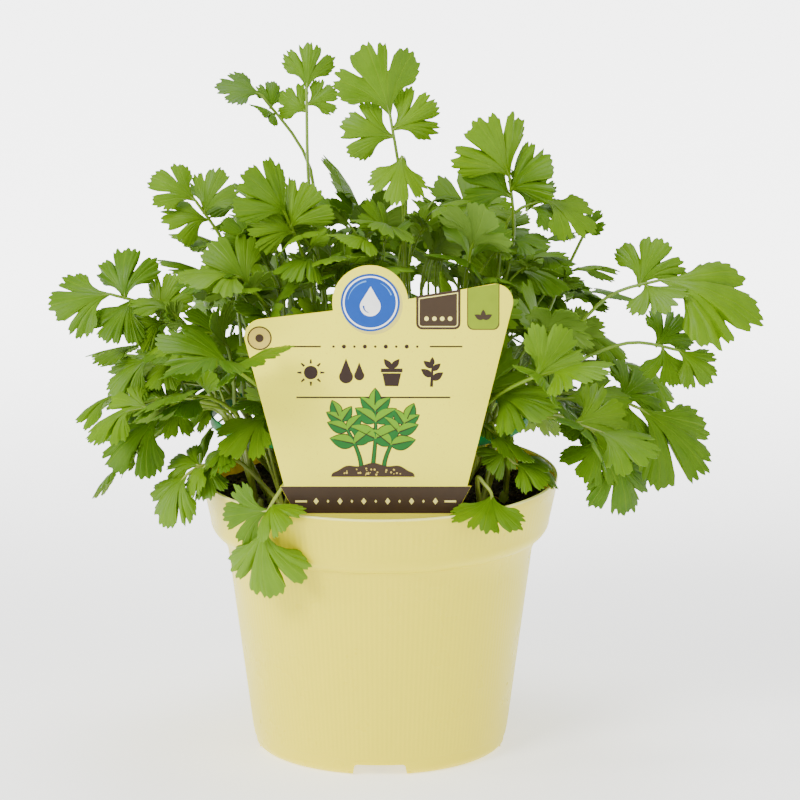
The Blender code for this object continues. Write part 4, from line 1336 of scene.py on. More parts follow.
@dataclass
class SupportBand:
    """The flat green band that holds the stems together above the rim."""

    level: float = 123.5 * MM
    height: float = 3.8 * MM
    wall: float = 0.8 * MM
    centre: Pair = (-4.0 * MM, 1.5 * MM)
    reach_x: float = 58.0 * MM
    reach_y: float = 48.0 * MM
    plain_sides: int = 32
    sides: int = 144
    round_off: float = 0.28 * MM

    def point(self, turn: float, inwards: float) -> Pair:
        """Give the place at an angle round the wall's middle, moved in by a distance."""
        return (self.centre[0] + (self.reach_x - inwards) * math.cos(turn),
                self.centre[1] + (self.reach_y - inwards) * math.sin(turn))

    def ring(self, corners: Outline, sides: int) -> Shape:
        """Run a cross-section round the band.

        Args:
            corners: its inward places and heights.
            sides: steps in a turn.

        Returns:
            Its points and faces.
        """
        points = [Vector((*self.point(math.tau * step / sides, inwards), height))
                  for step in range(sides) for inwards, height in corners]
        count = len(corners)
        turns = [(corner, (corner + 1) % count) for corner in range(count)]
        faces = []
        for step in range(sides):
            here, there = count * step, count * ((step + 1) % sides)
            faces += [(here + corner, there + corner, there + after, here + after) for corner, after in turns]
        return points, faces

    def keep_clear(self) -> Shape:
        """Give the plain band that the leaves keep clear of."""
        low = self.level - self.height / 2.0
        high = self.level + self.height / 2.0
        return self.ring([(side * self.wall, height) for side, height in (
            (-0.5, low), (-0.5, high), (0.5, high), (0.5, low))], self.plain_sides)

    def build(self) -> None:
        """Model the band with rounded edges and dress it."""
        reach = self.wall / 2.0 - self.round_off
        low = self.level - self.height / 2.0 + self.round_off
        high = self.level + self.height / 2.0 - self.round_off
        corners = []
        for *corner, start in (
                (-reach, low, 1.5), (-reach, high, 1.0), (reach, high, 0.5), (reach, low, 0.0)):
            corners += arc(corner, self.round_off, math.pi * start, math.pi * (start - 0.5), 3)
        band = mesh_piece("stem_band", *self.ring(corners, self.sides))
        dress(band, "support_band", BandPlastic().make(), 40.0)


@dataclass(frozen=True)
class Frond:
    """One leaf: where its end leaflet is rooted, its aim, its upper side, and its size, in mm."""

    tip: Triple
    aim: Triple
    face: Triple
    size: float
    pairs: int = 1
    side_size: float = 0.8
    low: bool = False


@dataclass(frozen=True)
class Plant:
    """One seedling: where its crown stands in the soil, in mm, and its leaves."""

    crown: Pair
    fronds: tuple[Frond, ...]


CHOSEN_PLANTS = (
    Plant((-10.0, 8.0), (
        Frond((-43.0, 6.0, 243.0), (-0.85, -0.1, 0.45), (0.35, -0.35, 0.85), 17.0, 1, 0.7),
        Frond((-48.0, 22.0, 196.0), (-0.6, 0.3, 0.4), (-0.3, 0.2, 0.9), 18.0, 1),
    )),
    Plant((-6.0, -9.0), (
        Frond((-26.5, -2.0, 247.0), (0.08, 0.0, 1.0), (0.05, -0.95, 0.3), 17.0, 1, 0.72),
        Frond((-34.0, -22.0, 205.0), (-0.35, -0.5, 0.6), (-0.1, -0.8, 0.6), 23.0, 1),
    )),
    Plant((8.0, -4.0), (
        Frond((3.7, -4.0, 238.0), (-0.28, -0.1, 0.95), (0.1, -0.95, 0.25), 27.0, 1, 0.7),
        Frond((8.0, -16.0, 225.0), (-0.1, -0.75, -0.55), (0.1, -0.75, 0.65), 19.0, 0),
    )),
    Plant((24.0, -6.0), (
        Frond((47.0, -8.0, 216.0), (-0.3, -0.45, 0.75), (-0.1, -0.75, 0.65), 25.0, 1),
        Frond((60.0, -6.0, 207.0), (0.6, -0.2, -0.25), (0.45, -0.55, 0.7), 22.0, 1),
    )),
    Plant((30.0, 8.0), (
        Frond((74.0, 6.0, 190.0), (0.45, 0.0, 0.9), (-0.6, -0.5, 0.5), 12.0, 0),
        Frond((99.0, -6.0, 176.0), (0.95, -0.15, -0.1), (0.1, -0.55, 0.85), 39.0, 1, 0.55),
    )),
    Plant((38.0, -8.0), (
        Frond((109.0, -8.0, 151.0), (0.6, -0.25, -0.35), (0.3, -0.75, 0.6), 17.0, 1, 1.0),
        Frond((95.0, -12.0, 130.0), (0.8, -0.25, -0.5), (0.4, -0.65, 0.65), 34.0, 1, 0.6),
    )),
    Plant((36.0, -24.0), (
        Frond((84.0, -22.0, 117.0), (0.35, -0.35, -0.8), (0.4, -0.8, 0.45), 24.0, 1, 0.8),
        Frond((40.5, -47.5, 106.5), (-0.12, -0.9, -0.35), (0.1, -0.4, 0.9), 25.0, 0, 1.0, True),
    )),
    Plant((-34.0, 4.0), (
        Frond((-98.0, -4.0, 172.0), (-0.9, -0.15, -0.1), (-0.15, -0.75, 0.7), 23.0, 2, 0.85),
        Frond((-67.0, -4.0, 206.0), (-0.75, -0.1, 0.6), (-0.1, -0.7, 0.7), 18.0, 1, 0.95),
    )),
    Plant((-40.0, -10.0), (
        Frond((-84.0, -12.0, 149.0), (-0.8, -0.2, -0.45), (-0.3, -0.75, 0.6), 20.0, 1),
        Frond((-80.0, -16.0, 129.0), (-0.75, -0.25, -0.55), (-0.35, -0.75, 0.55), 28.0, 1, 0.5),
    )),
    Plant((-34.0, -26.0), (
        Frond((-70.0, -30.0, 110.0), (-0.65, -0.35, -0.6), (-0.3, -0.6, 0.75), 19.0, 1, 0.8, True),
        Frond((-42.0, -58.0, 98.5), (-0.1, -0.3, -0.95), (-0.4, -0.9, 0.2), 26.0, 1, 0.7, True),
    )),
)


class Thicket:
    """What already stands, with a search tree for each shape, so that new shapes keep clear of it."""

    def __init__(self) -> None:
        """Start with nothing standing."""
        self.shapes: list[tuple[str, Vector, float, BVHTree]] = []

    def ball(self, points: Points) -> tuple[Vector, float]:
        """Give the middle of some points and how far they reach from it."""
        centre = sum(points, Vector()) / len(points)
        return centre, max((point - centre).length for point in points)

    def add(self, owner: str, points: Points, faces: Faces) -> None:
        """Remember a shape of the owner's that is placed for good."""
        self.shapes.append((owner, *self.ball(points), BVHTree.FromPolygons(points, faces)))

    def hits(self, points: Points, faces: Faces, owner: str | None = None) -> bool:
        """Say whether a shape runs into anything that stands, leaving out the owner's own shapes."""
        centre, radius = self.ball(points)
        tree = None
        for other, middle, reach, standing in self.shapes:
            if other == owner or (middle - centre).length > reach + radius:
                continue
            tree = tree or BVHTree.FromPolygons(points, faces)
            if tree.overlap(standing):
                return True
        return False


def loose(draw: Random, play: float) -> Vector:
    """Draw a shift of up to a play along each axis."""
    return Vector([draw.uniform(-play, play) for _ in range(3)])


def place_leaflet(root: Vector, forward: Vector, face: Vector, shape: Points) -> Points:
    """Carry a leaflet's points to where it grows.

    Args:
        root: where its base is.
        forward: the way it grows.
        face: the way its upper side looks.
        shape: its points, grown along +Y with its upper side to +Z.

    Returns:
        The placed points.
    """
    forward = forward.normalized()
    across = forward.cross(face).normalized()
    frame = Matrix((across, forward, across.cross(forward))).transposed()
    return [root + frame @ point for point in shape]


def hermite(start: Vector, start_pull: Vector, end: Vector, end_pull: Vector, share: float) -> Vector:
    """Give a point on a smooth curve between two points.

    Args:
        start: the first point.
        start_pull: how the curve leaves it.
        end: the last point.
        end_pull: how the curve reaches it.
        share: how far along it is.

    Returns:
        The point.
    """
    square = share * share
    cube = square * share
    return (start * (2.0 * cube - 3.0 * square + 1.0) + start_pull * (cube - 2.0 * square + share)
            + end * (-2.0 * cube + 3.0 * square) + end_pull * (cube - square))


@dataclass(frozen=True)
class PlainLeaf:
    """The plain leaflet that tries a place, in lengths: teeth as angles off its midrib and distances."""

    thickness: float = 0.8 * MM
    fan_centre: float = 0.30
    teeth: tuple[Pair, ...] = ((76.0, 0.56), (62.0, 0.52), (48.0, 0.65), (31.0, 0.53),
                                              (19.0, 0.66), (9.5, 0.62), (0.0, 0.69))
    notch_index: int = 3
    neck_reach: float = 0.12
    neck_half: float = 0.045
    side_hub: Pair = (45.0, 0.27)
    mid_hub: float = 0.36

    def shape(self, length: float, width: float, notch: float, arch: float, fold: float,
              grow: float = 0.0) -> Shape:
        """Give a fan-shaped leaflet that grows along +Y with its upper side to +Z.

        Args:
            length: its length.
            width: how much wider than long its fan is.
            notch: how far out its two notches stop.
            arch: how much its tip bends down.
            fold: how much its sides bend down.
            grow: how much larger it is, as two loose sheets, for trying a place.

        Returns:
            Its points and faces.
        """
        def on_blade(angle: float, reach: float) -> Pair:
            """Give a place on the fan by its angle and reach."""
            turn = math.radians(angle)
            spread = reach * length + grow
            return width * spread * math.sin(turn), self.fan_centre * length + spread * math.cos(turn)

        def place(x: float, y: float, side: float = 0.0) -> Vector:
            """Bend a place down by the arch and the fold."""
            ahead = max(0.0, y / length - self.neck_reach)
            across = x / length
            return Vector((x, y, -length * (arch * ahead * ahead + fold * across * across) + side))

        half = self.thickness / 2.0
        teeth = [(angle, reach * (notch if index == self.notch_index else 1.0))
                 for index, (angle, reach) in enumerate(self.teeth)]
        outline = [on_blade(-angle, reach) for angle, reach in teeth]
        outline += [on_blade(angle, reach) for angle, reach in teeth[-2::-1]]
        neck_half = self.neck_half * length + grow
        neck_level = self.neck_reach * length
        edge = [(0.0, 0.0), (-neck_half, neck_level), (neck_half, neck_level)] + outline
        hubs = [(0.0, neck_level), on_blade(-self.side_hub[0], self.side_hub[1]),
                (0.0, (self.fan_centre + self.mid_hub) * length), on_blade(*self.side_hub)]
        tip, left, right, first = 0, 1, 2, 3
        last = first + len(outline) - 1
        neck, hub_left, hub_mid, hub_right = range(last + 1, last + 5)
        notch_left = first + self.notch_index
        notch_right = last - self.notch_index
        upper = [
            (tip, right, neck), (tip, neck, left),
            (right, last, hub_right), (right, hub_right, neck), (neck, hub_right, hub_mid),
            (neck, hub_mid, hub_left), (neck, hub_left, left), (left, hub_left, first),
            (hub_right, notch_right, hub_mid), (hub_mid, notch_left, hub_left),
        ]
        for start, end, hub in ((last, notch_right, hub_right), (notch_right, notch_left, hub_mid),
                                (notch_left, first, hub_left)):
            upper += [(hub, index, index - 1) for index in range(start, end, -1)]
        if grow:
            lift_by = half + grow
            sheet = edge + hubs
            points = [place(x, y, lift_by) for x, y in sheet] + [place(x, y, -lift_by) for x, y in sheet]
            return points, upper + [tuple(index + len(sheet) for index in face) for face in upper]
        points = [place(x, y) for x, y in edge]
        points += [place(x, y, side) for side in (half, -half) for x, y in hubs]
        flip = {neck: last + 5, hub_left: last + 6, hub_mid: last + 7, hub_right: last + 8}
        return points, upper + [tuple(flip.get(index, index) for index in reversed(face)) for face in upper]


@dataclass(frozen=True)
class PlainStalk:
    """The plain three-sided stalk that tries a way."""

    root_radius: float = 1.25 * MM
    tip_radius: float = 0.75 * MM

    def frames(self, path: Points, face: Vector) -> list[tuple[Vector, Vector]]:
        """Give the heading and the sideways direction along a path, carried back from its end untwisted.

        Args:
            path: the stalk's points.
            face: the way its upper side looks.

        Returns:
            The directions at each point.
        """
        frames = []
        across = (path[-1] - path[-2]).cross(face)
        last = len(path) - 1
        for index in reversed(range(len(path))):
            along = (path[min(index + 1, last)] - path[max(index - 1, 0)]).normalized()
            across = (across - along * across.dot(along)).normalized()
            frames.append((along, across))
        return frames[::-1]

    def shape(self, path: Points, face: Vector, grow: float = 0.0) -> Shape:
        """Give the tapering stalk with closed ends.

        Args:
            path: the stalk's points.
            face: the way its upper side looks.
            grow: how much thicker it is.

        Returns:
            Its points and faces.
        """
        points = []
        count = len(path)
        for index, (along, across) in enumerate(self.frames(path, face)):
            up = across.cross(along)
            radius = self.root_radius + (self.tip_radius - self.root_radius) * index / (count - 1) + grow
            points += [path[index] + (up * 0.5 + across * side) * radius for side in (-0.87, 0.87)]
            points.append(path[index] - up * radius)
        faces = [(2, 1, 0), (3 * count - 3, 3 * count - 2, 3 * count - 1)]
        for low in range(0, 3 * count - 3, 3):
            faces += walls(3, low, low + 3)
        return points, faces

    def with_blade(self, stalk: Shape, blade: Shape, leaf: PlainLeaf) -> Shape:
        """Run a stalk's end straight into its end leaflet.

        Args:
            stalk: the stalk.
            blade: the leaflet.
            leaf: the leaflet's plan.

        Returns:
            Both in one shape.
        """
        stalk_points, stalk_faces = stalk
        blade_points, blade_faces = blade
        shift = len(stalk_points) - 1
        left, right, below = range(len(stalk_points) - 3, len(stalk_points))
        neck_left, neck_right = 1 + shift, 2 + shift
        neck_top = 2 * len(leaf.teeth) + 2 + shift
        neck_under = neck_top + 4
        faces = stalk_faces[:1] + stalk_faces[2:]
        faces += [tuple(index + shift for index in face) for face in blade_faces if 0 not in face]
        faces += [
            (left, right, neck_top), (right, neck_right, neck_top), (left, neck_top, neck_left),
            (right, below, neck_under), (right, neck_under, neck_right),
            (below, left, neck_left), (below, neck_left, neck_under),
        ]
        return stalk_points + blade_points[1:], faces


@dataclass(frozen=True)
class Leaflet:
    """A leaflet that found its place: its base, its heading, its upper side, its length and its own form."""

    root: Vector
    forward: Vector
    upper: Vector
    size: float
    form: tuple[float, ...]


@dataclass
class GrownFrond:
    """A leaf that found its place: its stalk's way and its leaflets, the end one first."""

    path: Points
    leaflets: list[Leaflet]
    stalk: PlainStalk


Spot = tuple[Vector, Vector, float]
Seedling = tuple[str, Pair, list[GrownFrond]]


@dataclass
class Growth:
    """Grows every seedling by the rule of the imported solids, so that its leaves stand where theirs do."""

    soil_top: float = 94.0 * MM
    pot_height: float = 102.5 * MM
    rim_radius: float = 65.5 * MM
    gap: float = 0.35 * MM
    crown_radius: float = 2.2 * MM
    crown_depth: float = 7.0 * MM
    crown_rise: float = 3.6 * MM
    crown_sides: int = 5
    root_spread: float = 0.7 * MM
    root_rise: float = 1.9 * MM
    root_step: float = 0.3 * MM
    blade_clearance: float = 0.45 * MM
    stalk_clearance: float = 0.3 * MM
    via_share: float = 0.42
    via_play: float = 0.2
    via_over_band: float = 3.8 * MM / 2.0 + 1.25 * MM + 0.7 * MM
    arch_below: float = 45.0 * MM
    arch_rise: float = 1.0
    plain_rise: float = 0.35
    tip_pull: float = 0.9
    low_via_share: float = 0.83
    low_via_rise: float = 9.0 * MM
    stalk_steps: Pair = (0.34, 0.68)
    pair_back: float = 7.2 * MM
    pair_spacing: float = 12.0 * MM
    pair_growth: float = 0.12
    pair_stagger: float = 1.3 * MM
    pair_swing: float = 66.0
    pair_swing_step: float = 8.0
    pair_shrink: float = 0.12
    widths: Pair = (1.0, 1.22)
    notches: Pair = (0.88, 1.1)
    arches: Pair = (0.1, 0.5)
    folds: Pair = (0.05, 0.4)
    seed: int = 32
    tries: int = 36
    place_play: float = 2.0 * MM
    place_play_step: float = 0.25 * MM
    turn_play: float = 0.14
    turn_play_step: float = 0.014
    shrink: float = 0.35
    crossing_from: float = 0.6
    golden_angle: float = math.radians(137.508)
    bush_base: float = 121.0 * MM
    bush_reach_x: float = 99.0 * MM
    bush_reach_y: float = 94.0 * MM
    bush_rise: float = 84.0 * MM
    bush_depths: Pair = (0.78, 1.0)
    bush_fronds: int = 44
    fronds_per_plant: int = 3
    bush_leaflets: Pair = (23.0, 30.0)
    bush_sides: Pair = (0.8, 1.0)
    two_pair_share: float = 0.12
    aim_play: float = 0.35
    face_play: float = 0.3
    crown_reaches: Triple = (20.0, 33.0, 46.0)
    crown_tries: int = 60
    card_front_half: float = 54.0 * MM
    card_front_limit: float = -34.0 * MM
    young_fronds: int = 150
    young_tries: int = 12
    young_heights: Pair = (107.0 * MM, 202.0 * MM)
    young_reaches: Pair = (0.5, 1.04)
    young_leaflets: Pair = (13.0, 21.0)

    def __post_init__(self) -> None:
        """Take the plans of what it grows and grows past, with nothing standing yet."""
        self.band = SupportBand()
        self.leaf = PlainLeaf()
        self.stalk = PlainStalk()
        self.thicket = Thicket()
        self.draw = Random(self.seed)
        self.crown_spacing = 2.0 * self.crown_radius + 3.0 * MM

    def band_limit(self, place: Vector, inwards: float) -> Vector:
        """Draw a point in until it is inside the band by a distance."""
        x = (place.x - self.band.centre[0]) / (self.band.reach_x - inwards)
        y = (place.y - self.band.centre[1]) / (self.band.reach_y - inwards)
        if math.hypot(x, y) <= 1.0:
            return place
        return Vector((*self.band.point(math.atan2(y, x), inwards), place.z))

    def stalk_path(self, root: Vector, frond: Frond, tip: Vector, lean: float) -> Points:
        """Give the way of a stalk from its crown, inside or under the band, to its end leaflet.

        Args:
            root: where it leaves the crown.
            frond: the leaf.
            tip: where it ends.
            lean: how far its pass of the band is moved along.

        Returns:
            Its points.
        """
        aim = Vector(frond.aim).normalized()
        arches = tip.z < self.band.level + self.arch_below
        if frond.low:
            flat = Vector((tip.x, tip.y, 0.0)).normalized()
            via = flat * (self.low_via_share * self.rim_radius)
            via += Vector((0.0, 0.0, self.pot_height + self.low_via_rise))
        else:
            via = root.lerp(tip, self.via_share + lean)
            via.z = self.band.level + (self.via_over_band if arches else 0.0)
            inwards = self.band.wall / 2.0 + self.stalk.root_radius + (MM if arches else self.gap)
            via = self.band_limit(via, inwards)
        second = (tip - via).length
        rise = self.arch_rise if arches and not frond.low else self.plain_rise
        through = ((tip - via).normalized() + Vector((0.0, 0.0, rise))).normalized()
        return [root, via, *(hermite(via, through * second, tip, aim * second * self.tip_pull, step)
                             for step in self.stalk_steps), tip]

    def back_along(self, path: Points, distance: float) -> tuple[Vector, Vector]:
        """Go back from a path's end by a distance, and give the point there and the path's heading."""
        for after, before in zip(path[::-1], path[-2::-1]):
            span = after - before
            if span.length >= distance:
                return after - span.normalized() * distance, span.normalized()
            distance -= span.length
        return path[0], (path[1] - path[0]).normalized()

    def leaflet_spots(self, frond: Frond, path: Points) -> list[Spot]:
        """Give the places of a leaf's leaflets.

        Args:
            frond: the leaf.
            path: its stalk's points.

        Returns:
            Place, heading and length of each, the end one first.
        """
        face = Vector(frond.face).normalized()
        length = frond.size * MM
        spots = [(path[-1], Vector(frond.aim).normalized(), length)]
        for pair in range(frond.pairs):
            side_length = length * frond.side_size * (1.0 - self.pair_shrink * pair)
            swing = math.radians(self.pair_swing + self.pair_swing_step * pair)
            for side in (-1, 1):
                back = self.pair_back + self.pair_stagger * side
                back += (self.pair_spacing + length * self.pair_growth) * pair
                place, heading = self.back_along(path, back)
                spots.append((place, Matrix.Rotation(side * swing, 3, face) @ heading, side_length))
        return spots

    def find_path(self, frond: Frond, root: Vector, owner: str) -> Points | None:
        """Find a way for a stalk that is clear of all that stands.

        Args:
            frond: the leaf.
            root: where the stalk leaves its crown.
            owner: the seedling.

        Returns:
            Its points, or nothing.
        """
        for attempt in range(self.tries):
            shift = loose(self.draw, self.place_play + self.place_play_step * attempt if attempt else 0.0)
            lean = self.draw.uniform(-self.via_play, self.via_play) if attempt else 0.0
            path = self.stalk_path(root, frond, Vector(frond.tip) * MM + shift, lean)
            shape = self.stalk.shape(path, Vector(frond.face).normalized(), self.stalk_clearance)
            if not self.thicket.hits(*shape, owner):
                return path
        return None

    def find_blade(self, spot: Spot, face: Vector, owner: str) -> tuple[Shape, Leaflet] | None:
        """Turn and shrink a leaflet at its place until it is clear of all that stands.

        Args:
            spot: its place, heading and length.
            face: the way its upper side looks.
            owner: the seedling.

        Returns:
            Its plain shape and its place, or nothing.
        """
        place, heading, length = spot
        form = [self.draw.uniform(*limits) for limits in (self.widths, self.notches, self.arches, self.folds)]
        for attempt in range(self.tries):
            spread = self.turn_play + self.turn_play_step * attempt if attempt else 0.0
            forward = heading + loose(self.draw, spread)
            upper = face + loose(self.draw, spread)
            size = length * (1.0 - self.shrink * attempt / self.tries)
            tried, tried_faces = self.leaf.shape(size, *form, self.blade_clearance)
            if self.thicket.hits(place_leaflet(place, forward, upper, tried), tried_faces, owner):
                continue
            blade, faces = self.leaf.shape(size, *form)
            blade = place_leaflet(place, forward, upper, blade)
            fan = [corners for corners in faces if 0 not in corners]
            if attempt < self.tries * self.crossing_from and self.thicket.hits(blade, fan):
                continue
            return (blade, faces), Leaflet(place, forward, upper, size, tuple(form))
        return None

    def grow_frond(self, frond: Frond, root: Vector, owner: str, fronds: list[GrownFrond]) -> None:
        """Grow one leaf clear of all that stands, if there is room.

        Args:
            frond: the leaf.
            root: where its stalk leaves the crown.
            owner: the seedling.
            fronds: its grown leaves, which take this one.
        """
        face = Vector(frond.face).normalized()
        path = self.find_path(frond, root, owner)
        if path is None:
            return
        end, *sides = self.leaflet_spots(frond, path)
        found = self.find_blade(end, face, owner)
        if found is None:
            return
        blade, leaflet = found
        self.thicket.add(owner, *self.stalk.with_blade(self.stalk.shape(path, face), blade, self.leaf))
        fronds.append(GrownFrond(path, [leaflet], self.stalk))
        for spot in sides:
            found = self.find_blade(spot, face, owner)
            if found:
                blade, leaflet = found
                self.thicket.add(owner, *blade)
                fronds[-1].leaflets.append(leaflet)

    def clear_of_card(self, x: float, y: float, z: float) -> Vector:
        """Give a point, moved back to where it doesn't hide the card."""
        return Vector((x, max(y, self.card_front_limit) if abs(x) < self.card_front_half else y, z))

    def bush_plants(self) -> list[Plant]:
        """Lay out the seedlings that fill the bush evenly all round, by the golden angle."""
        draw = Random(self.seed)
        tips = []
        for index in range(self.bush_fronds):
            rise = (index + 0.5) / self.bush_fronds
            turn = index * self.golden_angle
            flat = math.sqrt(1.0 - rise * rise)
            tip = Vector((self.bush_reach_x * flat * math.cos(turn),
                          self.bush_reach_y * flat * math.sin(turn), self.bush_rise * rise))
            tip = tip * draw.uniform(*self.bush_depths)
            tips.append((turn % math.tau, self.clear_of_card(*tip) + Vector((0.0, 0.0, self.bush_base))))
        tips.sort(key=lambda entry: entry[0])
        plants = []
        for start in range(0, len(tips), self.fronds_per_plant):
            group = tips[start:start + self.fronds_per_plant]
            middle = sum(turn for turn, tip in group) / len(group)
            reach = self.crown_reaches[start // self.fronds_per_plant % len(self.crown_reaches)]
            fronds = []
            for _, tip in group:
                outward = Vector((tip.x, tip.y, 0.0)).normalized()
                rise = (tip.z - self.bush_base) / self.bush_rise
                aim = outward * (1.0 - 0.5 * rise) + Vector((0.0, 0.0, rise * 1.1 - 0.25))
                aim += loose(draw, self.aim_play)
                face = outward * (0.85 - 0.5 * rise) + Vector((0.0, 0.0, 0.55 + 0.5 * rise))
                face += loose(draw, self.face_play)
                size = draw.uniform(*self.bush_leaflets)
                pairs = 2 if draw.random() < self.two_pair_share else 1
                side_size = draw.uniform(*self.bush_sides)
                fronds.append(Frond(tuple(tip / MM), tuple(aim), tuple(face), size, pairs, side_size))
            plants.append(Plant((reach * math.cos(middle), reach * math.sin(middle)), tuple(fronds)))
        return plants

    def clear_crowns(self, plants: list[Plant]) -> list[Pair]:
        """Give the places of the seedlings' crowns, moved apart where two would crowd each other."""
        crowns = []
        for plant in plants:
            place = Vector((plant.crown[0] * MM, plant.crown[1] * MM))
            for attempt in range(self.crown_tries):
                crowded = [other for other in crowns if (other - place).length < self.crown_spacing]
                if not crowded:
                    break
                away = place - crowded[0]
                push = away.normalized() if away.length > 0.1 * MM else Vector((1.0, 0.0))
                turn = Matrix.Rotation(0.7 * attempt, 2)
                place = place + (turn @ push) * (self.crown_spacing - away.length + self.gap)
            crowns.append(place)
        return [(place.x, place.y) for place in crowns]

    def crown_shape(self, crown: Pair) -> Shape:
        """Give the plain crown at a place, which a seedling's stalks spring from."""
        ends = (self.soil_top - self.crown_depth, self.soil_top + self.crown_rise)
        return turned_shape([(self.crown_radius, height) for height in ends], self.crown_sides, crown, 0.5)

    def root_of(self, crown: Pair, frond: Frond, order: int) -> Vector:
        """Give the place where a leaf's stalk leaves its crown, by the leaf's number on the seedling."""
        outward = Vector((frond.tip[0], frond.tip[1], 0.0)).normalized() * self.root_spread
        return Vector((*crown, self.soil_top + self.root_rise - self.root_step * order)) + outward

    def grow(self, pot: Pot, label: Label) -> list[Seedling]:
        """Grow every seedling clear of the pot, the label, the band and the others.

        Args:
            pot: the pot.
            label: the card.

        Returns:
            Each seedling's node, its crown's place and its leaves.
        """
        plants = [*CHOSEN_PLANTS, *self.bush_plants()]
        grown = [(f"plant_{number:02d}", crown, [])
                 for number, crown in enumerate(self.clear_crowns(plants), 1)]
        for owner, shape in (("pot", pot.keep_clear()), ("label", label.keep_clear()),
                             ("support_band", self.band.keep_clear())):
            self.thicket.add(owner, *shape)
        for owner, crown, _ in grown:
            self.thicket.add(owner, *self.crown_shape(crown))
        for plant, (owner, crown, fronds) in zip(plants, grown):
            for order, frond in enumerate(plant.fronds):
                self.grow_frond(frond, self.root_of(crown, frond, order), owner, fronds)
        self.grow_young(grown)
        return grown

    def grow_young(self, grown: list[Seedling]) -> None:
        """Fill the room that is left with small leaves on thin stalks, each from the nearest crown.

        Args:
            grown: the seedlings, which take the new leaves.
        """
        self.stalk = PlainStalk(root_radius=0.75 * MM, tip_radius=0.55 * MM)
        self.tries = self.young_tries
        low, high = self.young_heights
        for index in range(self.young_fronds):
            height = low + (high - low) * (index + 0.5) / self.young_fronds
            turn = index * self.golden_angle
            rise = max(0.0, (height - self.bush_base) / self.bush_rise)
            reach = math.sqrt(1.0 - rise * rise) * self.draw.uniform(*self.young_reaches)
            tip = self.clear_of_card(self.bush_reach_x * reach * math.cos(turn),
                                     self.bush_reach_y * reach * math.sin(turn), height)
            outward = Vector((tip.x, tip.y, 0.0)).normalized()
            aim = outward + Vector((0.0, 0.0, rise - 0.4)) + loose(self.draw, self.aim_play)
            face = outward * (0.8 - 0.5 * rise) + Vector((0.0, 0.0, 0.6 + 0.4 * rise))
            face += loose(self.draw, self.face_play)
            frond = Frond(tuple(tip / MM), tuple(aim), tuple(face), self.draw.uniform(*self.young_leaflets))
            owner, crown, fronds = min(grown, key=lambda one: math.dist(one[1], (tip.x * 0.5, tip.y * 0.5)))
            self.grow_frond(frond, self.root_of(crown, frond, len(fronds)), owner, fronds)


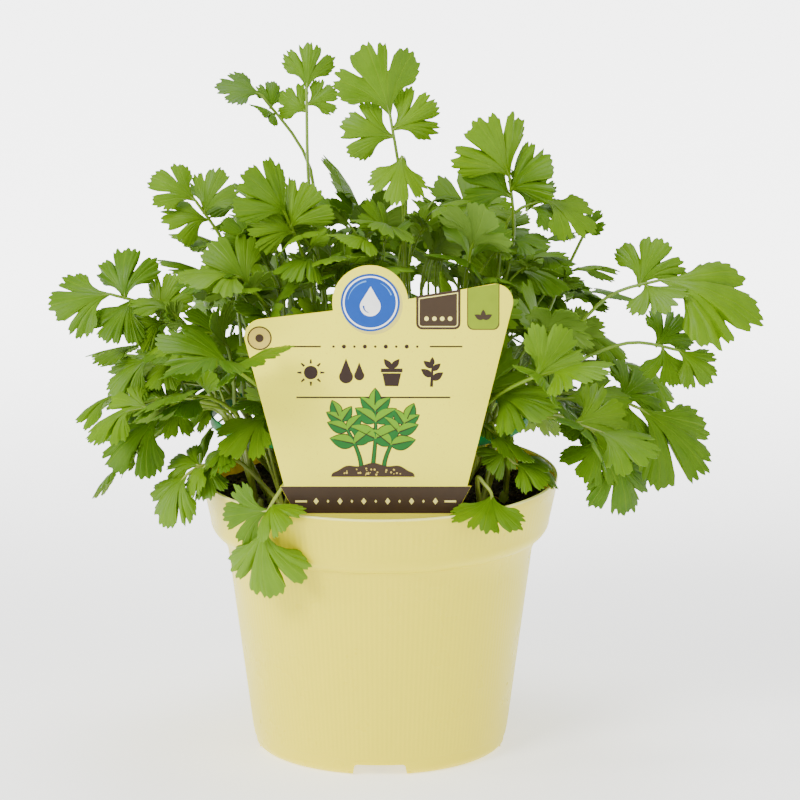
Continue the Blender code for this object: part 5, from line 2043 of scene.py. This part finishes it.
@dataclass(frozen=True)
class FineLeaf:
    """The finely cut leaflet, in lengths: a wedge that opens into a toothed fan of three lobes."""

    half_turn: float = 94.0
    teeth: int = 22
    tooth_steps: int = 3
    rows: tuple[float, ...] = (0.0, 0.28, 0.55, 0.80, 1.0)
    fan_centre: float = 0.30
    envelope_turns: tuple[float, ...] = (0.0, 14.0, 31.0, 52.0, 72.0, 94.0)
    envelope: tuple[float, ...] = (0.700, 0.685, 0.590, 0.665, 0.590, 0.400)
    tooth_depths: Pair = (0.06, 0.10)
    tooth_form: Triple = (0.0, 1.0, 0.75)
    cleft_turn: float = 31.0
    cleft_reaches: Pair = (0.10, 0.42)
    cleft_width: float = 3.6
    snip_turns: tuple[float, ...] = (-66.0, -50.0, -9.0, 10.0, 51.0, 67.0)
    snip_depths: Pair = (0.02, 0.22)
    snip_width: float = 2.8
    base_half: float = 0.016
    waist_half: float = 0.115
    waist_level: float = 0.33
    neck_reach: float = 0.12
    ruffle: float = 0.030
    curls: Pair = (0.0, 0.20)
    thickness: float = 0.24 * MM

    def sheet(self, leaflet: Leaflet, draw: Random) -> tuple[np.ndarray, np.ndarray, np.ndarray]:
        """Give one leaflet's upper side, in its place.

        Args:
            leaflet: where it grows, and its own form.
            draw: the random numbers for its teeth and ruffles.

        Returns:
            Its points, its places on the blade, and its faces.
        """
        width, notch, arch, fold = leaflet.form
        columns = self.teeth * self.tooth_steps + 1
        side = np.linspace(-1.0, 1.0, columns)
        turn = side * self.half_turn
        turns = np.radians(turn)
        reach = np.interp(np.abs(turn), self.envelope_turns, self.envelope)
        depth = draw.uniform(*self.tooth_depths)
        teeth = np.array([draw.uniform(0.55, 1.25) for _ in range(self.teeth)])
        within = np.arange(columns) % self.tooth_steps
        number = np.minimum(np.arange(columns) // self.tooth_steps, self.teeth - 1)
        mirrored = np.where(side > 0.0, within, (self.tooth_steps - within) % self.tooth_steps)
        reach = reach * (1.0 - depth + depth * np.array(self.tooth_form)[mirrored] * teeth[number])
        for way in (-1.0, 1.0):
            middle = way * (self.cleft_turn + draw.uniform(-4.0, 4.0))
            stop = draw.uniform(*self.cleft_reaches) * notch
            near = np.exp(-((turn - middle) / self.cleft_width) ** 2)
            reach = reach + (np.minimum(reach, stop) - reach) * near
        for middle in self.snip_turns:
            middle = middle + draw.uniform(-5.0, 5.0)
            near = np.exp(-((turn - middle) / self.snip_width) ** 2)
            reach = reach * (1.0 - draw.uniform(*self.snip_depths) * near)
        out = np.array(self.rows)[:, None]
        waist = 2.0 * out * (1.0 - out)
        x = side * (self.base_half * (1.0 - out) ** 2 + self.waist_half * width * waist)
        x = x + width * reach * np.sin(turns) * out ** 2
        y = self.waist_level * waist + (self.fan_centre + reach * np.cos(turns)) * out ** 2
        ahead = np.maximum(0.0, y - self.neck_reach)
        waves = np.sin(turns * draw.uniform(2.6, 3.6) + draw.uniform(0.0, math.tau))
        waves = waves + 0.3 * np.sin(turns * draw.uniform(6.0, 8.5) + draw.uniform(0.0, math.tau))
        lift = -(arch * ahead ** 2 + fold * x ** 2) + self.ruffle * waves * out ** 2
        lift = lift + self.ruffle * 0.75 * np.cos(turns * 3.0) * out - draw.uniform(*self.curls) * out ** 4
        local = np.stack((x, y, lift), axis=-1).reshape(-1, 3) * leaflet.size
        forward = leaflet.forward.normalized()
        across = forward.cross(leaflet.upper).normalized()
        frame = np.array((across, forward, across.cross(forward)))
        points = local @ frame + np.array(leaflet.root)
        blade = np.stack(np.broadcast_arrays((side + 1.0) / 2.0, out), axis=-1)
        grid = np.arange(len(self.rows) * columns).reshape(len(self.rows), columns)
        faces = np.stack((grid[:-1, :-1], grid[:-1, 1:], grid[1:, 1:], grid[1:, :-1]), axis=-1).reshape(-1, 4)
        return points, blade.reshape(-1, 2), faces


@dataclass(frozen=True)
class FineStalk:
    """The round, juicy stalk that runs on into the leaflet at its end."""

    sides: int = 8
    span_steps: int = 5
    slim: float = 0.74
    run_in: tuple[float, ...] = (0.07, 0.18)
    run_in_radii: tuple[float, ...] = (0.42, 0.12)
    petiole_reach: float = 0.16
    petiole_radius: float = 0.6 * MM

    def soft_path(self, path: Points) -> Points:
        """Run a smooth curve through a stalk's points, with more points on it."""
        points = []
        last = len(path) - 1
        for index in range(last):
            start, end = path[index], path[index + 1]
            start_pull = (end - path[max(index - 1, 0)]) / 2.0
            end_pull = (path[min(index + 2, last)] - start) / 2.0
            points += [hermite(start, start_pull, end, end_pull, step / self.span_steps)
                       for step in range(self.span_steps)]
        return points + [path[-1]]

    def tube(self, path: Points, radii: list[float], face: Vector) -> tuple[np.ndarray, np.ndarray]:
        """Give a closed round tube.

        Args:
            path: its middle line.
            radii: its radius at each point.
            face: the way its upper side looks at its end.

        Returns:
            Its points and its faces, the two ends closed by a point each.
        """
        points = []
        turns = [math.tau * step / self.sides for step in range(self.sides)]
        for place, radius, (along, across) in zip(path, radii, PlainStalk().frames(path, face)):
            up = across.cross(along)
            points += [place + (across * math.cos(turn) + up * math.sin(turn)) * radius for turn in turns]
        grid = np.arange(len(path) * self.sides).reshape(len(path), self.sides)
        nxt = np.roll(grid, -1, axis=1)
        sides = np.stack((grid[:-1], grid[1:], nxt[1:], nxt[:-1]), axis=-1).reshape(-1, 4)
        first, last = len(points), len(points) + 1
        points += [path[0], path[-1]]
        ends = [(first, grid[0, step], nxt[0, step], first) for step in range(self.sides)]
        ends += [(last, nxt[-1, step], grid[-1, step], last) for step in range(self.sides)]
        return np.array(points), np.concatenate((sides, np.array(ends)))


@dataclass
class Herb:
    """The coriander itself: every seedling of the solids with finely cut leaves and round stalks."""

    growth: Growth
    seed: int = 23
    crown_steps: tuple[Pair, ...] = ((-7.0, 2.0), (-1.0, 2.1), (1.4, 1.9), (2.8, 1.4), (3.5, 0.6))
    tones: Pair = (0.18, 0.92)

    def __post_init__(self) -> None:
        """Take the leaf and stalk plans and the skins."""
        self.leaf = FineLeaf()
        self.stalk = FineStalk()
        self.skins = (LeafSkin().make(), LeafSkin(underside=True).make(), StalkSkin().make())

    def build_blades(self, name: str, leaflets: list[Leaflet], draw: Random) -> Piece:
        """Model a seedling's leaflets as thin sheets with an upper side and an underside.

        Args:
            name: the piece's name.
            leaflets: where they grow.
            draw: the random numbers.

        Returns:
            The piece.
        """
        points, blades, faces, tones = [], [], [], []
        for leaflet in leaflets:
            sheet, blade, corners = self.leaf.sheet(leaflet, draw)
            faces.append(corners + len(tones))
            points.append(sheet)
            blades.append(blade)
            tones += [draw.uniform(*self.tones)] * len(sheet)
        corners = np.concatenate(faces)
        piece = mesh_piece(name, np.concatenate(points).tolist(), corners.tolist())
        layer = piece.data.uv_layers.new(name="blade")
        layer.data.foreach_set("uv", np.concatenate(blades)[corners.ravel()].ravel())
        piece.data.attributes.new("tone", "FLOAT", "POINT").data.foreach_set("value", tones)
        for skin in self.skins:
            piece.data.materials.append(skin)
        thicken = piece.modifiers.new("thickness", "SOLIDIFY")
        thicken.thickness = self.leaf.thickness
        thicken.offset = 0.0
        thicken.material_offset = 1
        apply_modifiers(piece)
        return piece

    def build_stalks(self, name: str, crown: Pair, fronds: list[GrownFrond]) -> Piece:
        """Model a seedling's crown and its stalks.

        Args:
            name: the piece's name.
            crown: where the crown stands.
            fronds: the leaves.

        Returns:
            The piece.
        """
        plan = self.stalk
        middle = [Vector((*crown, self.growth.soil_top + rise * MM)) for rise, _ in self.crown_steps]
        tubes = [plan.tube(middle, [radius * MM for _, radius in self.crown_steps], Vector((0, -1, 0)))]
        for frond in fronds:
            path = plan.soft_path(frond.path)
            thick, thin = frond.stalk.root_radius * plan.slim, frond.stalk.tip_radius * plan.slim
            radii = [thick + (thin - thick) * index / (len(path) - 1) for index in range(len(path))]
            end = frond.leaflets[0]
            path += [end.root + end.forward.normalized() * (end.size * reach) for reach in plan.run_in]
            radii += [radius * MM for radius in plan.run_in_radii]
            tubes.append(plan.tube(path, radii, end.upper))
            for leaflet in frond.leaflets[1:]:
                reach = leaflet.forward.normalized() * (leaflet.size * plan.petiole_reach)
                way = [leaflet.root + reach * share for share in (0.0, 0.5, 1.0)]
                radii = [plan.petiole_radius * share for share in (1.0, 0.7, 0.2)]
                tubes.append(plan.tube(way, radii, leaflet.upper))
        faces = []
        start = 0
        for points, corners in tubes:
            faces += [tuple(dict.fromkeys(face)) for face in (corners + start).tolist()]
            start += len(points)
        piece = mesh_piece(name, np.concatenate([points for points, _ in tubes]).tolist(), faces)
        for skin in self.skins:
            piece.data.materials.append(skin)
        piece.data.polygons.foreach_set("material_index", [2] * len(faces))
        return piece

    def build(self, pot: Pot, label: Label) -> None:
        """Grow and dress every seedling, clear of the pot and the label."""
        draw = Random(self.seed)
        for node, crown, fronds in self.growth.grow(pot, label):
            leaflets = [leaflet for frond in fronds for leaflet in frond.leaflets]
            blades = self.build_blades(f"{node}_leaves", leaflets, draw)
            stalks = self.build_stalks(f"{node}_stalks", crown, fronds)
            dress(join(f"{node}_grown", [blades, stalks]), node, angle=50.0)


@dataclass
class Studio:
    """The plain pale floor, soft studio light and the camera at the photograph's angle."""

    aim: Triple = (7.34 * MM, 0.0, 130.2 * MM)
    distance: float = 2.4
    elevation: float = math.radians(14.3)
    view_width: float = 0.2936
    floor_size: float = 40.0
    world_colour: Colour = (0.97, 0.985, 1.0, 1.0)
    world_strength: float = 0.62

    def hang(self, name: str, kind: object, place: Vector) -> Piece:
        """Put a light or a camera in a place, looking at the plant."""
        holder = bpy.data.objects.new(name, kind)
        bpy.context.scene.collection.objects.link(holder)
        holder.location = place
        holder.rotation_euler = (Vector(self.aim) - place).to_track_quat("-Z", "Y").to_euler()
        return holder

    def add_light(self, name: str, place: Triple, power: float, size: float, colour: Triple) -> None:
        """Hang a soft square light.

        Args:
            name: its name.
            place: where it hangs.
            power: its power in watts.
            size: its side.
            colour: its colour.
        """
        light = bpy.data.lights.new(name, "AREA")
        light.energy = power
        light.size = size
        light.color = colour
        self.hang(name, light, Vector(place))

    def build(self) -> None:
        """Set up the floor, the world, the lights and the camera."""
        deselect()
        bpy.ops.mesh.primitive_plane_add(size=self.floor_size)
        floor = active_piece("studio_floor")
        floor.data.materials.append(FloorPaint().make())
        world = bpy.data.worlds.new("studio")
        world.use_nodes = True
        background = world.node_tree.nodes["Background"]
        background.inputs["Color"].default_value = self.world_colour
        background.inputs["Strength"].default_value = self.world_strength
        bpy.context.scene.world = world
        self.add_light("key", (-1.1, -1.5, 1.5), 52.0, 0.8, (1.0, 0.985, 0.95))
        self.add_light("fill", (1.5, -1.2, 0.9), 12.0, 1.2, (0.98, 0.99, 1.0))
        self.add_light("top", (0.1, 0.5, 1.9), 30.0, 1.0, (1.0, 1.0, 1.0))
        self.add_light("side", (-1.3, -0.2, 0.3), 9.0, 0.30, (1.0, 1.0, 1.0))
        camera = bpy.data.cameras.new("camera")
        camera.sensor_width = 36.0
        camera.lens = camera.sensor_width * self.distance / self.view_width
        camera.clip_start = 0.05
        back = Vector((0.0, -math.cos(self.elevation), math.sin(self.elevation))) * self.distance
        bpy.context.scene.camera = self.hang("camera", camera, Vector(self.aim) + back)


def main() -> None:
    """Build every sub-assembly in order and note the sizes."""
    logging.basicConfig(level=logging.INFO, format="%(name)s %(message)s")
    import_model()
    pot = Pot()
    label = Label()
    pot.build()
    Soil().build(pot)
    label.build()
    SupportBand().build()
    Herb(Growth()).build(pot, label)
    Studio().build()
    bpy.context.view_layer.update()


if __name__ == "__main__":
    main()
